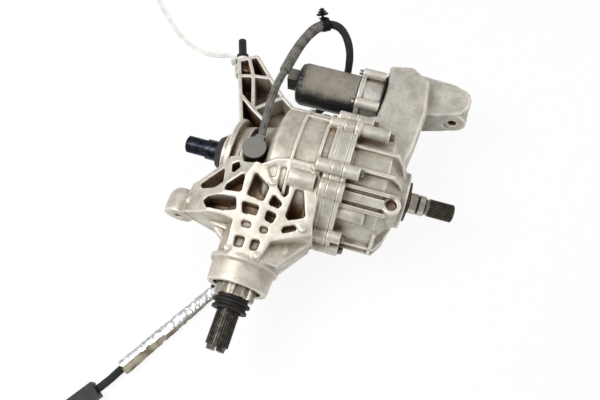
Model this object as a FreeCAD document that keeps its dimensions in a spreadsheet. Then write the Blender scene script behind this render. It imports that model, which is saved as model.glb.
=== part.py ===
import FreeCAD, Part
import math
import os
import re
import Sketcher

# Rear axle drive with a bevel gear differential, a motor-driven locking clutch and a splined pinion.
# Millimetres. X runs along the axle to the right output, -Y along the pinion, Z up.
# Every piece is drawn about the crossing of the two shaft axes and placed at axle_height.

doc = FreeCAD.newDocument("rear_differential")
vec = FreeCAD.Vector

driving = {
    # axes
    "axle_height": 112,
    "motor_y": 152,
    "motor_z": 20,
    # clearances and walls
    "running_gap": 0.3,
    "seat_gap": 0.05,
    "wall": 6,
    "rib_width": 6,
    # main housing along the axle
    "barrel_r": 98,
    "cavity_r": 92,
    "shoulder_x": -2,
    "dome_x": -14,
    "dome_r": 62,
    "ear_x": -66,
    "ear_width": 8,
    "ear_r": 62,
    "hub_end": -88,
    "hub_r": 34,
    "seam_x": 89,
    "seam_r": 104,
    "flange_width": 9,
    "plate_width": 16,
    "ring_rib": 5,
    # nose and collar along the pinion
    "nose_root_r": 58,
    "nose_tip_r": 45,
    "lip_y": -166,
    "lip_r": 51.5,
    "collar_y": -176,
    "collar_r": 47,
    "collar_end": -205,
    # seam bolts
    "bolt_circle": 103,
    "bolt_boss_r": 10,
    "bolt_r": 4,
    # clutch cover, gear case and right arm
    "cover_r": 89,
    "cover_end": 205,
    "cover_taper_x": 168,
    "cover_hub_r": 44,
    "case_low": -30,
    "case_top": 56,
    "arm_low": -12,
    "arm_top": 34,
    "eye_x": 250,
    "eye_z": 10,
    "eye_r": 22,
    "eye_bore_r": 7,
    "eye_near": 153,
    "eye_far": 208,
    # left arms
    "boss_x": -121,
    "boss_z": 8,
    "boss_r": 22.5,
    "boss_face": -125,
    "boss_back": -84,
    "boss_bore_r": 6,
    "lug_x": -118,
    "lug_y": 170,
    "lug_lean": 20,
    "lug_r": 10.5,
    "stud_r": 7,
    "stud_len": 55,
    # bevel drive
    "ring_teeth": 41,
    "pinion_teeth": 13,
    "drive_module": 4.2,
    "drive_face": 28,
    "spider_teeth": 10,
    "side_teeth": 14,
    "side_module": 3.9,
    "side_face": 9,
    # shafts
    "trunnion_r": 22.5,
    "output_r": 15,
    "left_tip": -155,
    "left_spline": -120,
    "right_tip": 281,
    "right_spline": 242,
    "spline_r": 13.8,
    "neck_r": 16.5,
    "pinion_tip": -295,
    "pinion_spline": -240,
    "pinion_spline_r": 16.5,
    "head_journal_r": 20,
    "tail_journal_r": 18,
    # differential case
    "case_r": 50,
    "case_bore": 38,
    "case_left": -42,
    "case_flange_x": 49,
    "case_flange_r": 76,
    "pin_r": 8,
    # clutch
    "drum_x": 112,
    "drum_r": 68,
    "drum_bore": 64,
    "plate_in": 44,
    "hub_out": 40,
    "plate_thick": 2,
    "pack_x": 120,
    "pack_pitch": 4.8,
    "press_x": 138,
    "press_width": 9,
    "ball_r": 4.5,
    "ball_circle": 54,
    "gear_x": 152.5,
    "gear_width": 8,
    "ramp_teeth": 50,
    "idler_teeth": 22,
    "motor_teeth": 8,
    "gear_module": 3,
    # motor
    "can_r": 35,
    "can_left": -11,
    "can_right": 90,
    "adapter_right": 130,
    # sensor
    "puck_x": -29,
    "puck_y": -15,
    "puck_top": 80,
    "puck_r": 17,
    "puck_height": 27,
}

# pockets in the nose deck and the front arm: the height of the floor, then the corners of the rim
deck_pockets = {
    "pocket_a": (50, ((-27, -55), (-25, -85), (-51, -89), (-50, -79))),
    "pocket_b": (58, ((-14, -53), (12, -69), (9, -90), (-17, -87))),
    "pocket_c": (22, ((-80, -105), (-72, -98), (-30, -94), (-25, -110), (-44, -116), (-68, -117))),
    "pocket_d": (55, ((-21, -96), (6, -97), (5, -111), (-16, -112))),
    "pocket_e": (52, ((20, -76), (36, -86), (33, -94), (16, -92))),
    "pocket_f": (50, ((17, -99), (33, -102), (30, -116), (17, -113))),
    "pocket_g": (58, ((-14, -121), (1, -121), (2, -130), (-12, -130))),
    "pocket_h": (57, ((14, -122), (27, -122), (26, -131), (15, -131))),
    "pocket_i": (48, ((-16, -143), (-1, -142), (-2, -157), (-15, -158))),
    "pocket_j": (48, ((8, -142), (21, -141), (19, -155), (8, -158))),
    "pocket_k": (50, ((20, -39), (35, -39), (40, -71), (36, -79), (22, -66))),
    "pocket_l": (34, ((48, -62), (60, -62), (72, -96), (50, -106), (44, -101))),
    "pocket_m": (74, ((1, -45), (15, -37), (17, -53), (9, -57))),
    "pocket_n": (50, ((42, -127), (46, -115), (61, -109), (67, -115))),
    "pocket_o": (4, ((-98, -77), (-62, -51), (-56, -77), (-68, -85), (-90, -84))),
    "pocket_p": (40, ((-53, -46), (-43, -40), (-38, -50), (-48, -63))),
}
deck_rim = (
    (-112, -74), (-104, -70), (-66, -42), (-60, -33), (-44, -31), (-36, -40), (-7, -42), (10, -32), (32, -26),
    (72, -25), (82, -60), (84, -100), (88, -116), (34, -139), (25, -168), (-24, -168), (-26, -124), (-38, -122),
    (-77, -123), (-112, -122),
)
# round pads left by the ejector pins: place and radius
pin_pads = {
    "pad_a": (67, -30, 101, 5.5),
    "pad_b": (72, -111, 69, 5.5),
    "pad_c": (14, -61, 84, 5.5),
    "pad_d": (-62, -42, 66, 5),
    "pad_e": (21, -162, 54, 4.6),
    "pad_f": (-22, -162, 53, 4.6),
    "pad_g": (-104, -103, 33, 6),
}
# crossings of the ribs on the rear arm
deck_nodes = {
    "tail_root_left": (-71, 33),
    "tail_root_mid": (-44, 62),
    "tail_root_right": (8, 86),
    "tail_cross_left": (-95, 98),
    "tail_cross_mid": (-66, 76),
    "tail_side": (-26, 111),
    "tail_elbow": (-44, 128),
    "tail_neck_left": (-108, 132),
    "tail_neck_mid": (-86, 138),
    "tail_neck_right": (-61, 141),
    "tail_tip_left": (-119, 161),
    "tail_tip_mid": (-105, 172),
    "tail_tip_right": (-92, 178),
}
for name, (floor, corners) in deck_pockets.items():
    driving[name + "_floor"] = floor
    deck_nodes.update((name + "_%d" % number, corner) for number, corner in enumerate(corners, 1))
deck_nodes.update(("deck_rim_%d" % number, corner) for number, corner in enumerate(deck_rim, 1))

sizes = doc.addObject("Spreadsheet::Sheet", "Sizes")
for name, (node_x, node_y) in deck_nodes.items():
    driving[name + "_x"] = node_x
    driving[name + "_y"] = node_y
for row, (name, number) in enumerate(driving.items(), 1):
    sizes.set("A%d" % row, name)
    sizes.set("B%d" % row, str(number))
    sizes.setAlias("B%d" % row, name)
doc.recompute()

pieces = []


def tied(text):
    """Point each alias in an expression at the sheet."""
    return re.sub(r"[a-z_]+[0-9]*[a-z_]*", lambda m: "Sizes." + m[0] if m[0] in driving else m[0], str(text))


def amount(text):
    """Number that an expression has now."""
    found = sizes.evalExpression(tied(text))
    return float(getattr(found, "Value", found))


def bind(thing, prop, text):
    thing.setExpression(prop, tied(text))


def move(thing, x="0", y="0", z="0", turn=None):
    if turn is not None:
        thing.Placement = FreeCAD.Placement(vec(), turn)
    for axis, text in zip("xyz", (x, y, z)):
        bind(thing, "Placement.Base." + axis, text)
    return thing


def finish(thing, label, x="0", y="0", z="0", turn=None):
    """Give a sub-part its name and set it at the height of the axle."""
    thing.Label = label
    move(thing, x, y, "axle_height + (%s)" % z, turn)
    pieces.append(thing)
    return thing


def lean_to_motor(thing, further="0 deg"):
    """Turn a spur gear about its axis until a tooth lies on the line from the axle to the motor."""
    angle = "atan2(motor_z; motor_y) + (%s)" % further
    thing.Placement.Rotation = FreeCAD.Rotation(vec(1, 0, 0), amount(angle))
    bind(thing, "Placement.Rotation.Angle", angle)


def origin_part(body, role):
    return [feature for feature in body.Origin.OriginFeatures if feature.Role == role][0]


def sketch_on(body, plane, lift="0"):
    sketch = body.newObject("Sketcher::SketchObject", body.Name + "_sketch")
    sketch.AttachmentSupport = [(origin_part(body, plane), "")]
    sketch.MapMode = "FlatFace"
    bind(sketch, "AttachmentOffset.Base.z", lift)
    return sketch


def outline(body, points, plane="XY_Plane", lift="0"):
    """Closed outline of straight edges, each corner tied to the sheet."""
    sketch = sketch_on(body, plane, lift)
    corners = [vec(amount(across), amount(up), 0) for across, up in points]
    for start, end in zip(corners, corners[1:] + corners[:1]):
        sketch.addGeometry(Part.LineSegment(start, end))
    for index in range(len(points)):
        following = (index + 1) % len(points)
        sketch.addConstraint(Sketcher.Constraint("Coincident", index, 2, following, 1))
    for index, corner in enumerate(corners):
        for kind, value, text in zip(("DistanceX", "DistanceY"), corner, points[index]):
            number = sketch.addConstraint(Sketcher.Constraint(kind, -1, 1, index, 1, value))
            bind(sketch, "Constraints[%d]" % number, text)
    return sketch


def turned(name, points, about="X"):
    """Body turned about X or Y from half its section: (along, radius), or (radius, along) about Y."""
    body = doc.addObject("PartDesign::Body", name)
    sketch = outline(body, points)
    turn = body.newObject("PartDesign::Revolution", name + "_turn")
    turn.Profile = sketch
    turn.ReferenceAxis = (sketch, ["H_Axis" if about == "X" else "V_Axis"])
    turn.Angle = 360
    return body


def sleeve(name, start, end, inner, outer, about="X"):
    """Plain ring between two stations."""
    section = [(start, inner), (start, outer), (end, outer), (end, inner)]
    if about == "Y":
        section = [(radius, along) for along, radius in section]
    return turned(name, section, about)


def slab(name, points, low, high, plane="XY_Plane", round_top=None, corner=None):
    """Flat outline made as thick as low to high, with its upper rim or its upright corners rounded if asked."""
    body = doc.addObject("PartDesign::Body", name)
    sketch = outline(body, points, plane, low)
    pad = body.newObject("PartDesign::Pad", name + "_pad")
    pad.Profile = sketch
    bind(pad, "Length", "(%s) - (%s)" % (high, low))
    if round_top:
        doc.recompute()
        faces = pad.Shape.Faces
        top = max(range(len(faces)), key=lambda k: faces[k].CenterOfMass.z)
        rounding = body.newObject("PartDesign::Fillet", name + "_round")
        rounding.Base = (pad, ["Face%d" % (top + 1)])
        bind(rounding, "Radius", round_top)
    if corner:
        doc.recompute()
        edges = pad.Shape.Edges
        upright = [k for k in range(len(edges)) if abs(edges[k].tangentAt(edges[k].FirstParameter).z) > 0.99]
        rounding = body.newObject("PartDesign::Fillet", name + "_corners")
        rounding.Base = (pad, ["Edge%d" % (k + 1) for k in upright])
        bind(rounding, "Radius", corner)
    return body


turns = {
    "X": FreeCAD.Rotation(vec(0, 1, 0), 90),
    "Y": FreeCAD.Rotation(vec(1, 0, 0), -90),
    "Z": FreeCAD.Rotation(),
    "lug": FreeCAD.Rotation(vec(0, 0, 1), driving["lug_lean"]).multiply(FreeCAD.Rotation(vec(1, 0, 0), -90)),
}


def on_lug(along):
    """Point on the axis of the rear arm's lug."""
    slant = "(lug_lean * 1 deg)"
    return "lug_x - (%s) * sin(%s)" % (along, slant), "lug_y + (%s) * cos(%s)" % (along, slant), "2"


def rod(name, start, axis, radius, length):
    """Cylinder from a start point along an axis."""
    cylinder = doc.addObject("Part::Cylinder", name)
    bind(cylinder, "Radius", radius)
    bind(cylinder, "Height", length)
    return move(cylinder, *start, turn=turns[axis])


def block(name, start, length, width, height):
    box = doc.addObject("Part::Box", name)
    for prop, text in zip(("Length", "Width", "Height"), (length, width, height)):
        bind(box, prop, text)
    return move(box, *start)


def joined(name, things):
    fuse = doc.addObject("Part::MultiFuse", name)
    fuse.Shapes = things
    fuse.Refine = True
    return fuse


def shared(name, first, second):
    common = doc.addObject("Part::Common", name)
    common.Base = first
    common.Tool = second
    return common


def less(name, base, tool):
    cut = doc.addObject("Part::Cut", name)
    cut.Base = base
    cut.Tool = tool
    cut.Refine = True
    return cut


def rib(start, end, low, high, width="rib_width"):
    """Upright rib between two named crossings, run on past them by half its width."""
    across = "(%s_x - %s_x)" % (end, start)
    along = "(%s_y - %s_y)" % (end, start)
    box = doc.addObject("Part::Box", "rib_%s_%s" % (start, end))
    bind(box, "Length", "sqrt(%s^2 + %s^2)" % (across, along))
    bind(box, "Width", width)
    bind(box, "Height", "(%s) - (%s)" % (high, low))
    heading = "atan2(%s; %s)" % (along, across)
    box.Placement = FreeCAD.Placement(vec(), FreeCAD.Rotation(vec(0, 0, 1), amount(heading)))
    bind(box, "Placement.Rotation.Angle", "(%s + 360 deg) %% 360 deg" % heading)
    bind(box, "Placement.Base.x", "%s_x + %s / 2 * sin(%s)" % (start, width, heading))
    bind(box, "Placement.Base.y", "%s_y - %s / 2 * cos(%s)" % (start, width, heading))
    bind(box, "Placement.Base.z", low)
    return box


def around(angle, radius):
    """Place at an angle from straight up towards the nose, as y and z."""
    return "-(%s) * sin(%s deg)" % (radius, angle), "(%s) * cos(%s deg)" % (radius, angle)


def axial_rib(name, angle, start, end, radius, height="ring_rib", width="rib_width"):
    """Rib that runs along the axle on a round wall."""
    box = doc.addObject("Part::Box", name)
    bind(box, "Length", "(%s) - (%s)" % (end, start))
    bind(box, "Width", width)
    bind(box, "Height", "%s + wall" % height)
    box.Placement = FreeCAD.Placement(vec(), FreeCAD.Rotation(vec(1, 0, 0), angle))
    bind(box, "Placement.Base.x", start)
    base = "(%s - wall)" % radius
    bind(box, "Placement.Base.y", "-%s * sin(%s deg) - %s / 2 * cos(%s deg)" % (base, angle, width, angle))
    bind(box, "Placement.Base.z", "%s * cos(%s deg) - %s / 2 * sin(%s deg)" % (base, angle, width, angle))
    return box


# Seam bolts: angle round the axle, and where each boss starts on the main housing and ends on the cover.
bolt_places = {
    -29: ("seam_x - 22", "156"),
    14: ("seam_x - 22", "129"),
    72: ("seam_x - 24", "126"),
    96: ("seam_x - 14", "126"),
    126: ("seam_x - 14", "126"),
    160: ("seam_x - 14", "126"),
    194: ("seam_x - 14", "126"),
    228: ("seam_x - 14", "126"),
    312: ("seam_x - 14", "129"),
}


def bosses(name, start=None, end=None):
    """Bolt bosses round the seam, between two stations or to each bolt's own, and one wide dowel boss."""
    made = []
    for number, (angle, (own_start, own_end)) in enumerate(bolt_places.items()):
        first, last = start or own_start, end or own_end
        made.append(rod("%s_%d" % (name, number), (first, *around(angle, "bolt_circle")), "X", "bolt_boss_r",
                        "(%s) - (%s)" % (last, first)))
    first, last = start or "seam_x - 10", end or "114"
    made.append(rod(name + "_dowel", (first, *around(31, "bolt_circle - 6")), "X", "bolt_boss_r + 5",
                    "(%s) - (%s)" % (last, first)))
    return made


def plan(name, count):
    """Corners of a numbered outline seen from above."""
    return [("%s_%d_x" % (name, number), "%s_%d_y" % (name, number)) for number in range(1, count + 1)]


def deck():
    """Nose deck and front arm: one falling slab with round-cornered pockets between its webs."""
    low = "10"
    plate = slab("deck_plate", plan("deck_rim", len(deck_rim)), low, "110")
    slope = slab("deck_slope", [("-170", low), ("-170", "49"), ("-60", "83"), ("-44", "90"), ("-30", "99"),
                                ("-20", "99"), ("-20", low)], "-125", "seam_x", "YZ_Plane")
    fall = slab("arm_slope", [("seam_x", low), ("seam_x", "110"), ("6", "110"), ("-26", "82"), ("-58", "70"),
                              ("boss_x + 12", "boss_z + 20"), ("-125", "boss_z + 12"), ("-125", low)],
                "20", "175", "XZ_Plane")
    top = shared("deck_top", shared("deck_fall", plate, slope), fall)
    pockets = [slab(name, plan(name, len(corners)), name + "_floor", "112", corner="3.5")
               for name, (floor, corners) in deck_pockets.items()]
    pads = [rod(name, (x, y, "20"), "Z", radius, "%s - 20" % z) for name, (x, y, z, radius) in pin_pads.items()]
    return joined("deck", [less("deck_webs", top, joined("deck_pockets", pockets))] + pads)


def tail_arm():
    """Ribbed triangular arm that reaches back on the left."""
    low = "-24"
    high = "30"
    runs = [
        ("tail_root_left", "tail_cross_left"), ("tail_cross_left", "tail_tip_left"),
        ("tail_root_right", "tail_side"), ("tail_side", "tail_elbow"), ("tail_elbow", "tail_tip_right"),
        ("tail_root_mid", "tail_cross_mid"), ("tail_cross_mid", "tail_neck_mid"),
        ("tail_cross_left", "tail_cross_mid"), ("tail_cross_mid", "tail_side"),
        ("tail_neck_left", "tail_neck_mid"), ("tail_neck_mid", "tail_neck_right"),
        ("tail_neck_mid", "tail_tip_mid"), ("tail_tip_left", "tail_tip_right"),
    ]
    ribs = [rib(start, end, low, high) for start, end in runs]
    names = ("tail_root_left", "tail_cross_left", "tail_tip_left", "tail_tip_right", "tail_elbow", "tail_side",
             "tail_root_right")
    floor = slab("tail_floor", [(name + "_x", name + "_y") for name in names], low, "-14")
    head = rod("tail_head", on_lug("-20"), "lug", "lug_r + 4", "20")
    return joined("tail_arm", ribs + [floor, head])


def web(name, near, far):
    """Cast web lofted between two upright sections: (x, back y, front y, low, high)."""
    wires = []
    for x, back, front, low, high in (near, far):
        corners = [(back, low), (back, high), (front, high), (front, low)]
        spots = [vec(amount(x), amount(y), amount(z)) for y, z in corners]
        wires.append(Part.makePolygon(spots + spots[:1]))
    feature = doc.addObject("Part::Feature", name)
    feature.Shape = Part.makeLoft(wires, True, True)
    return feature


def main_housing():
    """Cast housing: barrel round the ring gear, nose round the pinion, two left arms."""
    barrel = turned("barrel", [
        ("hub_end", "0"), ("hub_end", "hub_r"), ("ear_x - ear_width", "hub_r"), ("ear_x - ear_width", "ear_r"),
        ("ear_x", "ear_r"), ("ear_x", "hub_r + 16"), ("dome_x", "dome_r"), ("shoulder_x", "barrel_r - 4"),
        ("shoulder_x + 4", "barrel_r"), ("29", "barrel_r"), ("29", "barrel_r + ring_rib"),
        ("34", "barrel_r + ring_rib"), ("34", "barrel_r"), ("65", "barrel_r"), ("65", "barrel_r + ring_rib"),
        ("70", "barrel_r + ring_rib"), ("70", "barrel_r"), ("seam_x - flange_width", "barrel_r"),
        ("seam_x - flange_width", "seam_r"), ("seam_x", "seam_r"), ("seam_x", "0")])
    nose = turned("nose", [
        ("0", "-50"), ("nose_root_r", "-50"), ("nose_root_r - 4", "-95"), ("nose_tip_r + 2", "-128"),
        ("nose_tip_r", "lip_y + 3"), ("lip_r", "lip_y"), ("lip_r", "lip_y - 6"), ("collar_r", "collar_y"),
        ("collar_r - 2", "collar_end"), ("0", "collar_end")], "Y")
    boss = move(turned("arm_boss", [
        ("0", "boss_face"), ("boss_r - 1.5", "boss_face"), ("boss_r", "boss_face + 1.5"),
        ("boss_r", "boss_back - 12"), ("boss_r - 2", "boss_back - 6"), ("boss_r - 7", "boss_back"),
        ("0", "boss_back")], "Y"), "boss_x", "0", "boss_z")
    arm_web = web("arm_web", ("-30", "-52", "-132", "-34", "30"), ("boss_x + 14", "boss_back - 4",
                  "boss_face + 6", "boss_z - 16", "boss_z + 8"))
    arm_root = web("arm_root", ("-20", "-100", "-160", "-30", "20"), ("-62", "-100", "-128", "-26", "20"))
    gusset_in = web("gusset_in", ("22", "-60", "lip_y", "-14", "44"), ("50", "-60", "lip_y", "-14", "36"))
    gusset_out = web("gusset_out", ("50", "-60", "lip_y", "-14", "36"), ("seam_x - 5", "-60", "-120", "-14", "30"))
    pad = slab("sump", [("-14", "-38"), ("seam_x - 4", "-38"), ("seam_x - 4", "38"), ("-14", "38")],
               "-axle_height", "-60")
    seat = rod("puck_seat", ("puck_x", "puck_y", "40"), "Z", "puck_r + 7", "puck_top - puck_height - 40 + 4")
    blind = rod("blind_front", ("34", *around(29, "barrel_r - 5")), "X", "15", "38")
    fill = rod("fill_boss", ("50", "80", "0"), "Y", "17", "26")
    drain = rod("drain_boss", ("50", "50", "-66"), "Y", "17", "38")
    axial = [
        axial_rib("frame_back", -34, "29", "seam_x", "barrel_r"),
        axial_rib("frame_step", -44, "shoulder_x + 4", "70", "barrel_r", "3"),
        axial_rib("back_rib", 285, "shoulder_x", "seam_x", "barrel_r"),
        axial_rib("low_back_rib", 245, "shoulder_x", "seam_x", "barrel_r"),
        axial_rib("low_front_rib", 140, "shoulder_x", "seam_x", "barrel_r"),
    ]
    spot = rod("gusset_spot", ("50", "-140", "0"), "Z", "8.5", "36")
    solid = joined("housing_solid", [
        barrel, nose, boss, arm_web, arm_root, gusset_in, gusset_out, blind, pad, seat, fill, drain,
        deck(), tail_arm(), spot] + axial + bosses("housing_boss", end="seam_x"))
    cavity = turned("housing_cavity", [
        ("hub_end", "0"), ("hub_end", "27"), ("hub_end + 12", "27"), ("hub_end + 12", "18"), ("-68", "18"),
        ("-68", "40"), ("-50", "40"), ("-47", "case_r + wall"), ("8", "case_r + wall"), ("14", "cavity_r"),
        ("seam_x", "cavity_r"), ("seam_x", "0")])
    bore = turned("pinion_cavity", [
        ("0", "-30"), ("40", "-30"), ("40", "-98"), ("38", "-98"), ("38", "-120"), ("28", "-120"),
        ("28", "-166"), ("33", "-166"), ("33", "-186"), ("36", "-186"), ("36", "collar_end"),
        ("0", "collar_end")], "Y")
    bolt = rod("arm_bolt_bore", ("boss_x", "boss_face", "boss_z"), "Y", "boss_bore_r", "boss_back - boss_face")
    puck = rod("puck_bore", ("puck_x", "puck_y", "puck_top - puck_height"), "Z", "puck_r + seat_gap", "20")
    ports = [
        rod("fill_port", ("50", "85", "0"), "Y", "11", "21"),
        rod("drain_port", ("50", "58", "-66"), "Y", "11", "30"),
        rod("stud_port", on_lug("-14"), "lug", "stud_r", "14"),
        rod("lug_room", on_lug("0"), "lug", "lug_r + running_gap", "24"),
    ]
    threads = [rod("seam_hole_%d" % k, ("seam_x - 13", *around(angle, "bolt_circle")), "X", "bolt_r", "13")
               for k, angle in enumerate(bolt_places)]
    hollow = joined("housing_hollow", [cavity, bore, bolt, puck] + ports + threads)
    finish(less("main_casting", solid, hollow), "main_housing")


def intermediate_plate():
    plate = sleeve("plate_ring", "seam_x", "seam_x + plate_width", "38", "seam_r")
    lip = sleeve("plate_lip", "seam_x", "seam_x + 2", "32", "40")
    body = joined("plate_solid", [plate, lip] + bosses("plate_boss", "seam_x", "seam_x + plate_width"))
    holes = joined("plate_holes", [rod("plate_hole_%d" % k, ("seam_x", *around(angle, "bolt_circle")), "X",
                                       "bolt_r", "plate_width") for k, angle in enumerate(bolt_places)])
    finish(less("plate_cut", body, holes), "intermediate_plate")


cover_start = "seam_x + plate_width"


def right_cover():
    """Clutch cover with ribs, the gear case that runs back to the motor, and the right arm."""
    shell = turned("cover_shell", [
        (cover_start, "0"), (cover_start, "seam_r"), (cover_start + " + 7", "seam_r"),
        (cover_start + " + 7", "cover_r"), ("cover_taper_x", "cover_r"), ("cover_end - 8", "cover_hub_r"),
        ("cover_end", "cover_hub_r"), ("cover_end", "0")])
    case = slab("gear_case", [
        ("108", "60"), ("112", "98"), ("adapter_right", "106"), ("adapter_right", "204"), ("166", "212"),
        ("198", "190"), ("204", "130"), ("198", "66"), ("190", "30")], "case_low", "case_top",
        round_top="wall + 2")
    arm = slab("arm_beam", [
        ("150", "150"), ("140", "205"), ("166", "218"), ("240", "214"), ("262", "206"), ("271", "192"),
        ("270", "172"), ("258", "156"), ("240", "148"), ("200", "136")], "arm_low", "arm_top",
        round_top="wall")
    eye = rod("arm_eye", ("eye_x", "eye_near", "eye_z"), "Y", "eye_r", "eye_far - eye_near")
    angles = {"a": -14, "b": 8, "c": 24, "d": 42, "e": 86, "f": 104, "g": 140, "h": 235}
    ribs = [axial_rib("cover_rib_" + key, angle, cover_start, "cover_end - 10", "cover_r - 45", "52")
            for key, angle in angles.items()]
    frame = sleeve("window_end", "cover_taper_x", "cover_taper_x + 5", "40", "cover_r + 8")
    low_corner = slab("window_side", [("-20", "0"), ("-110", "60"), ("-110", "-40"), ("-20", "-6")],
                      "cover_taper_x - 2", "cover_taper_x + 7", "YZ_Plane")
    envelope = turned("rib_envelope", [
        (cover_start, "0"), (cover_start, "cover_r + 7"), ("cover_taper_x + 8", "cover_r + 7"),
        ("cover_taper_x + 19", "cover_r - 10"), ("cover_end - 9", "cover_hub_r + 3"), ("cover_end - 9", "0")])
    ribs = shared("cover_ribs", joined("rib_set", ribs + [shared("window_rim", frame, low_corner)]), envelope)
    inner_boss = rod("window_boss", (cover_start, *around(51, "cover_r - 6")), "X", "13", "46")
    pad = axial_rib("slot_pad", 33, cover_start, "172", "cover_r", "4", "14")
    blind = rod("blind_boss", ("182", "-46", "10"), "Z", "14", "66")
    foot = slab("cover_foot", [("140", "-22"), ("172", "-22"), ("172", "22"), ("140", "22")],
                "-axle_height", "-60")
    collar = rod("long_boss_flange", (cover_start, *around(-29, "bolt_circle")), "X", "bolt_boss_r + 3", "9")
    solid = joined("cover_solid", [shell, case, arm, eye, blind, foot, ribs, inner_boss, pad, collar]
                   + bosses("cover_boss", start=cover_start))
    cavity = turned("cover_cavity", [
        (cover_start, "0"), (cover_start, "cover_r - wall - 1"), ("gear_x + gear_width + 6", "cover_r - wall - 1"),
        ("gear_x + gear_width + 6", "66"), ("gear_x + gear_width + 1", "64"),
        ("gear_x + gear_width + 1", "plate_in - seat_gap"), ("press_x", "plate_in - seat_gap"),
        ("press_x", "output_r + 6"), ("188", "output_r + 6"), ("188", "output_r + 1"),
        ("193", "output_r + 1"), ("193", "26"), ("cover_end", "26"), ("cover_end", "0")])
    gears = [
        rod("idler_room", ("gear_x - 2", idler_y, idler_z), "X", "gear_module * (idler_teeth / 2 + 1.6)",
            "gear_width + 4"),
        rod("motor_room", ("gear_x - 2", "motor_y", "motor_z"), "X", "gear_module * (motor_teeth / 2 + 2)",
            "gear_width + 4"),
        rod("idler_pin_port", ("gear_x - 12", idler_y, idler_z), "X", "6 + seat_gap", "gear_width + 22"),
        rod("motor_shaft_port", ("adapter_right - 1", "motor_y", "motor_z"), "X", "9",
            "gear_x - adapter_right + 1"),
        rod("eye_bore", ("eye_x", "eye_near", "eye_z"), "Y", "eye_bore_r", "eye_far - eye_near"),
        rod("eye_near_face", ("eye_x", "eye_near - 12", "eye_z"), "Y", "eye_bore_r + 6", "12"),
        rod("eye_far_face", ("eye_x", "eye_far", "eye_z"), "Y", "eye_bore_r + 6", "12"),
        rod("blind_hole", ("182", "-46", "66"), "Z", "8", "14"),
    ]
    holes = [rod("cover_hole_%d" % k, (cover_start, *around(angle, "bolt_circle")), "X", "bolt_r",
                 "%s - (%s)" % (bolt_places[angle][1], cover_start)) for k, angle in enumerate(bolt_places)]
    hollow = joined("cover_hollow", [cavity] + gears + holes)
    finish(less("cover_casting", solid, hollow), "right_cover")


def seam_bolts():
    """Long bolts through cover and plate into the main housing, one piece each, alike."""
    made = []
    for number, (angle, (start, end)) in enumerate(bolt_places.items()):
        where = around(angle, "bolt_circle")
        made.append(rod("bolt_shank_%d" % number, ("seam_x - 12", *where), "X", "bolt_r - seat_gap",
                        "%s - seam_x + 12" % end))
        made.append(rod("bolt_head_%d" % number, (end, *where), "X", "6.5", "7"))
    finish(joined("bolt_set", made), "seam_bolts")


def seals():
    left = turned("left_seal_ring", [
        ("hub_end - 12", "output_r + 3"), ("hub_end - 12", "24"), ("hub_end - 3", "30"), ("hub_end", "30"),
        ("hub_end", "27 - seat_gap"), ("hub_end + 11.9", "27 - seat_gap"), ("hub_end + 11.9", "output_r + 1"),
        ("hub_end - 2", "output_r + 1"), ("hub_end - 2", "output_r + 3")])
    finish(left, "left_seal")
    right = turned("right_seal_ring", [
        ("193.1", "output_r + 1"), ("193.1", "26 - seat_gap"), ("cover_end", "26 - seat_gap"),
        ("cover_end", "31"), ("cover_end + 5", "31"), ("cover_end + 6", "output_r + 4"),
        ("cover_end + 2", "output_r + 4"), ("cover_end + 2", "output_r + 1")])
    finish(right, "right_seal")
    nose = turned("pinion_seal_ring", [
        ("tail_journal_r + 6", "-187"), ("36 - seat_gap", "-187"), ("36 - seat_gap", "collar_end + 6"),
        ("33", "collar_end + 4"), ("tail_journal_r + 6", "collar_end + 4")], "Y")
    finish(nose, "pinion_seal")


def bearing(name, start, end, bore, outer, about, small_first):
    """Taper roller bearing as its cup and its cone with rollers, a running gap apart."""
    middle = "((%s) + (%s)) / 2" % (bore, outer)
    tilt = "3" if small_first else "-3"
    cup = [(start, "%s + 4 - %s" % (middle, tilt)), (start, outer + " - seat_gap"),
           (end, outer + " - seat_gap"), (end, "%s + 4 + %s" % (middle, tilt))]
    cone = [(start, bore + " + seat_gap"), (start, "%s + 4 - running_gap - %s" % (middle, tilt)),
            (end, "%s + 4 - running_gap + %s" % (middle, tilt)), (end, bore + " + seat_gap")]
    if about == "Y":
        cup = [(radius, along) for along, radius in cup]
        cone = [(radius, along) for along, radius in cone]
    finish(turned(name + "_cup_ring", cup, about), name + "_cup")
    finish(turned(name + "_cone_ring", cone, about), name + "_cone")


def bearings():
    bearing("left_carrier", "-67.9", "-51", "trunnion_r", "40", "X", True)
    bearing("right_carrier", "seam_x + 2.1", "seam_x + plate_width", "trunnion_r", "38", "X", False)
    bearing("pinion_head", "-119.9", "-99", "head_journal_r", "38", "Y", True)
    bearing("pinion_tail", "-184", "-166.1", "tail_journal_r", "33", "Y", False)


def tooth_loft(body, sections, teeth, axis):
    """One tooth lofted between two sketches and repeated about the axis."""
    loft = body.newObject("PartDesign::AdditiveLoft", body.Name + "_tooth")
    loft.Profile = sections[0]
    loft.Sections = [sections[1]]
    loft.Ruled = True
    pattern = body.newObject("PartDesign::PolarPattern", body.Name + "_teeth")
    pattern.Originals = [loft]
    pattern.Axis = (origin_part(body, axis), [""])
    pattern.Angle = 360
    bind(pattern, "Occurrences", teeth)
    body.Tip = pattern


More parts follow.
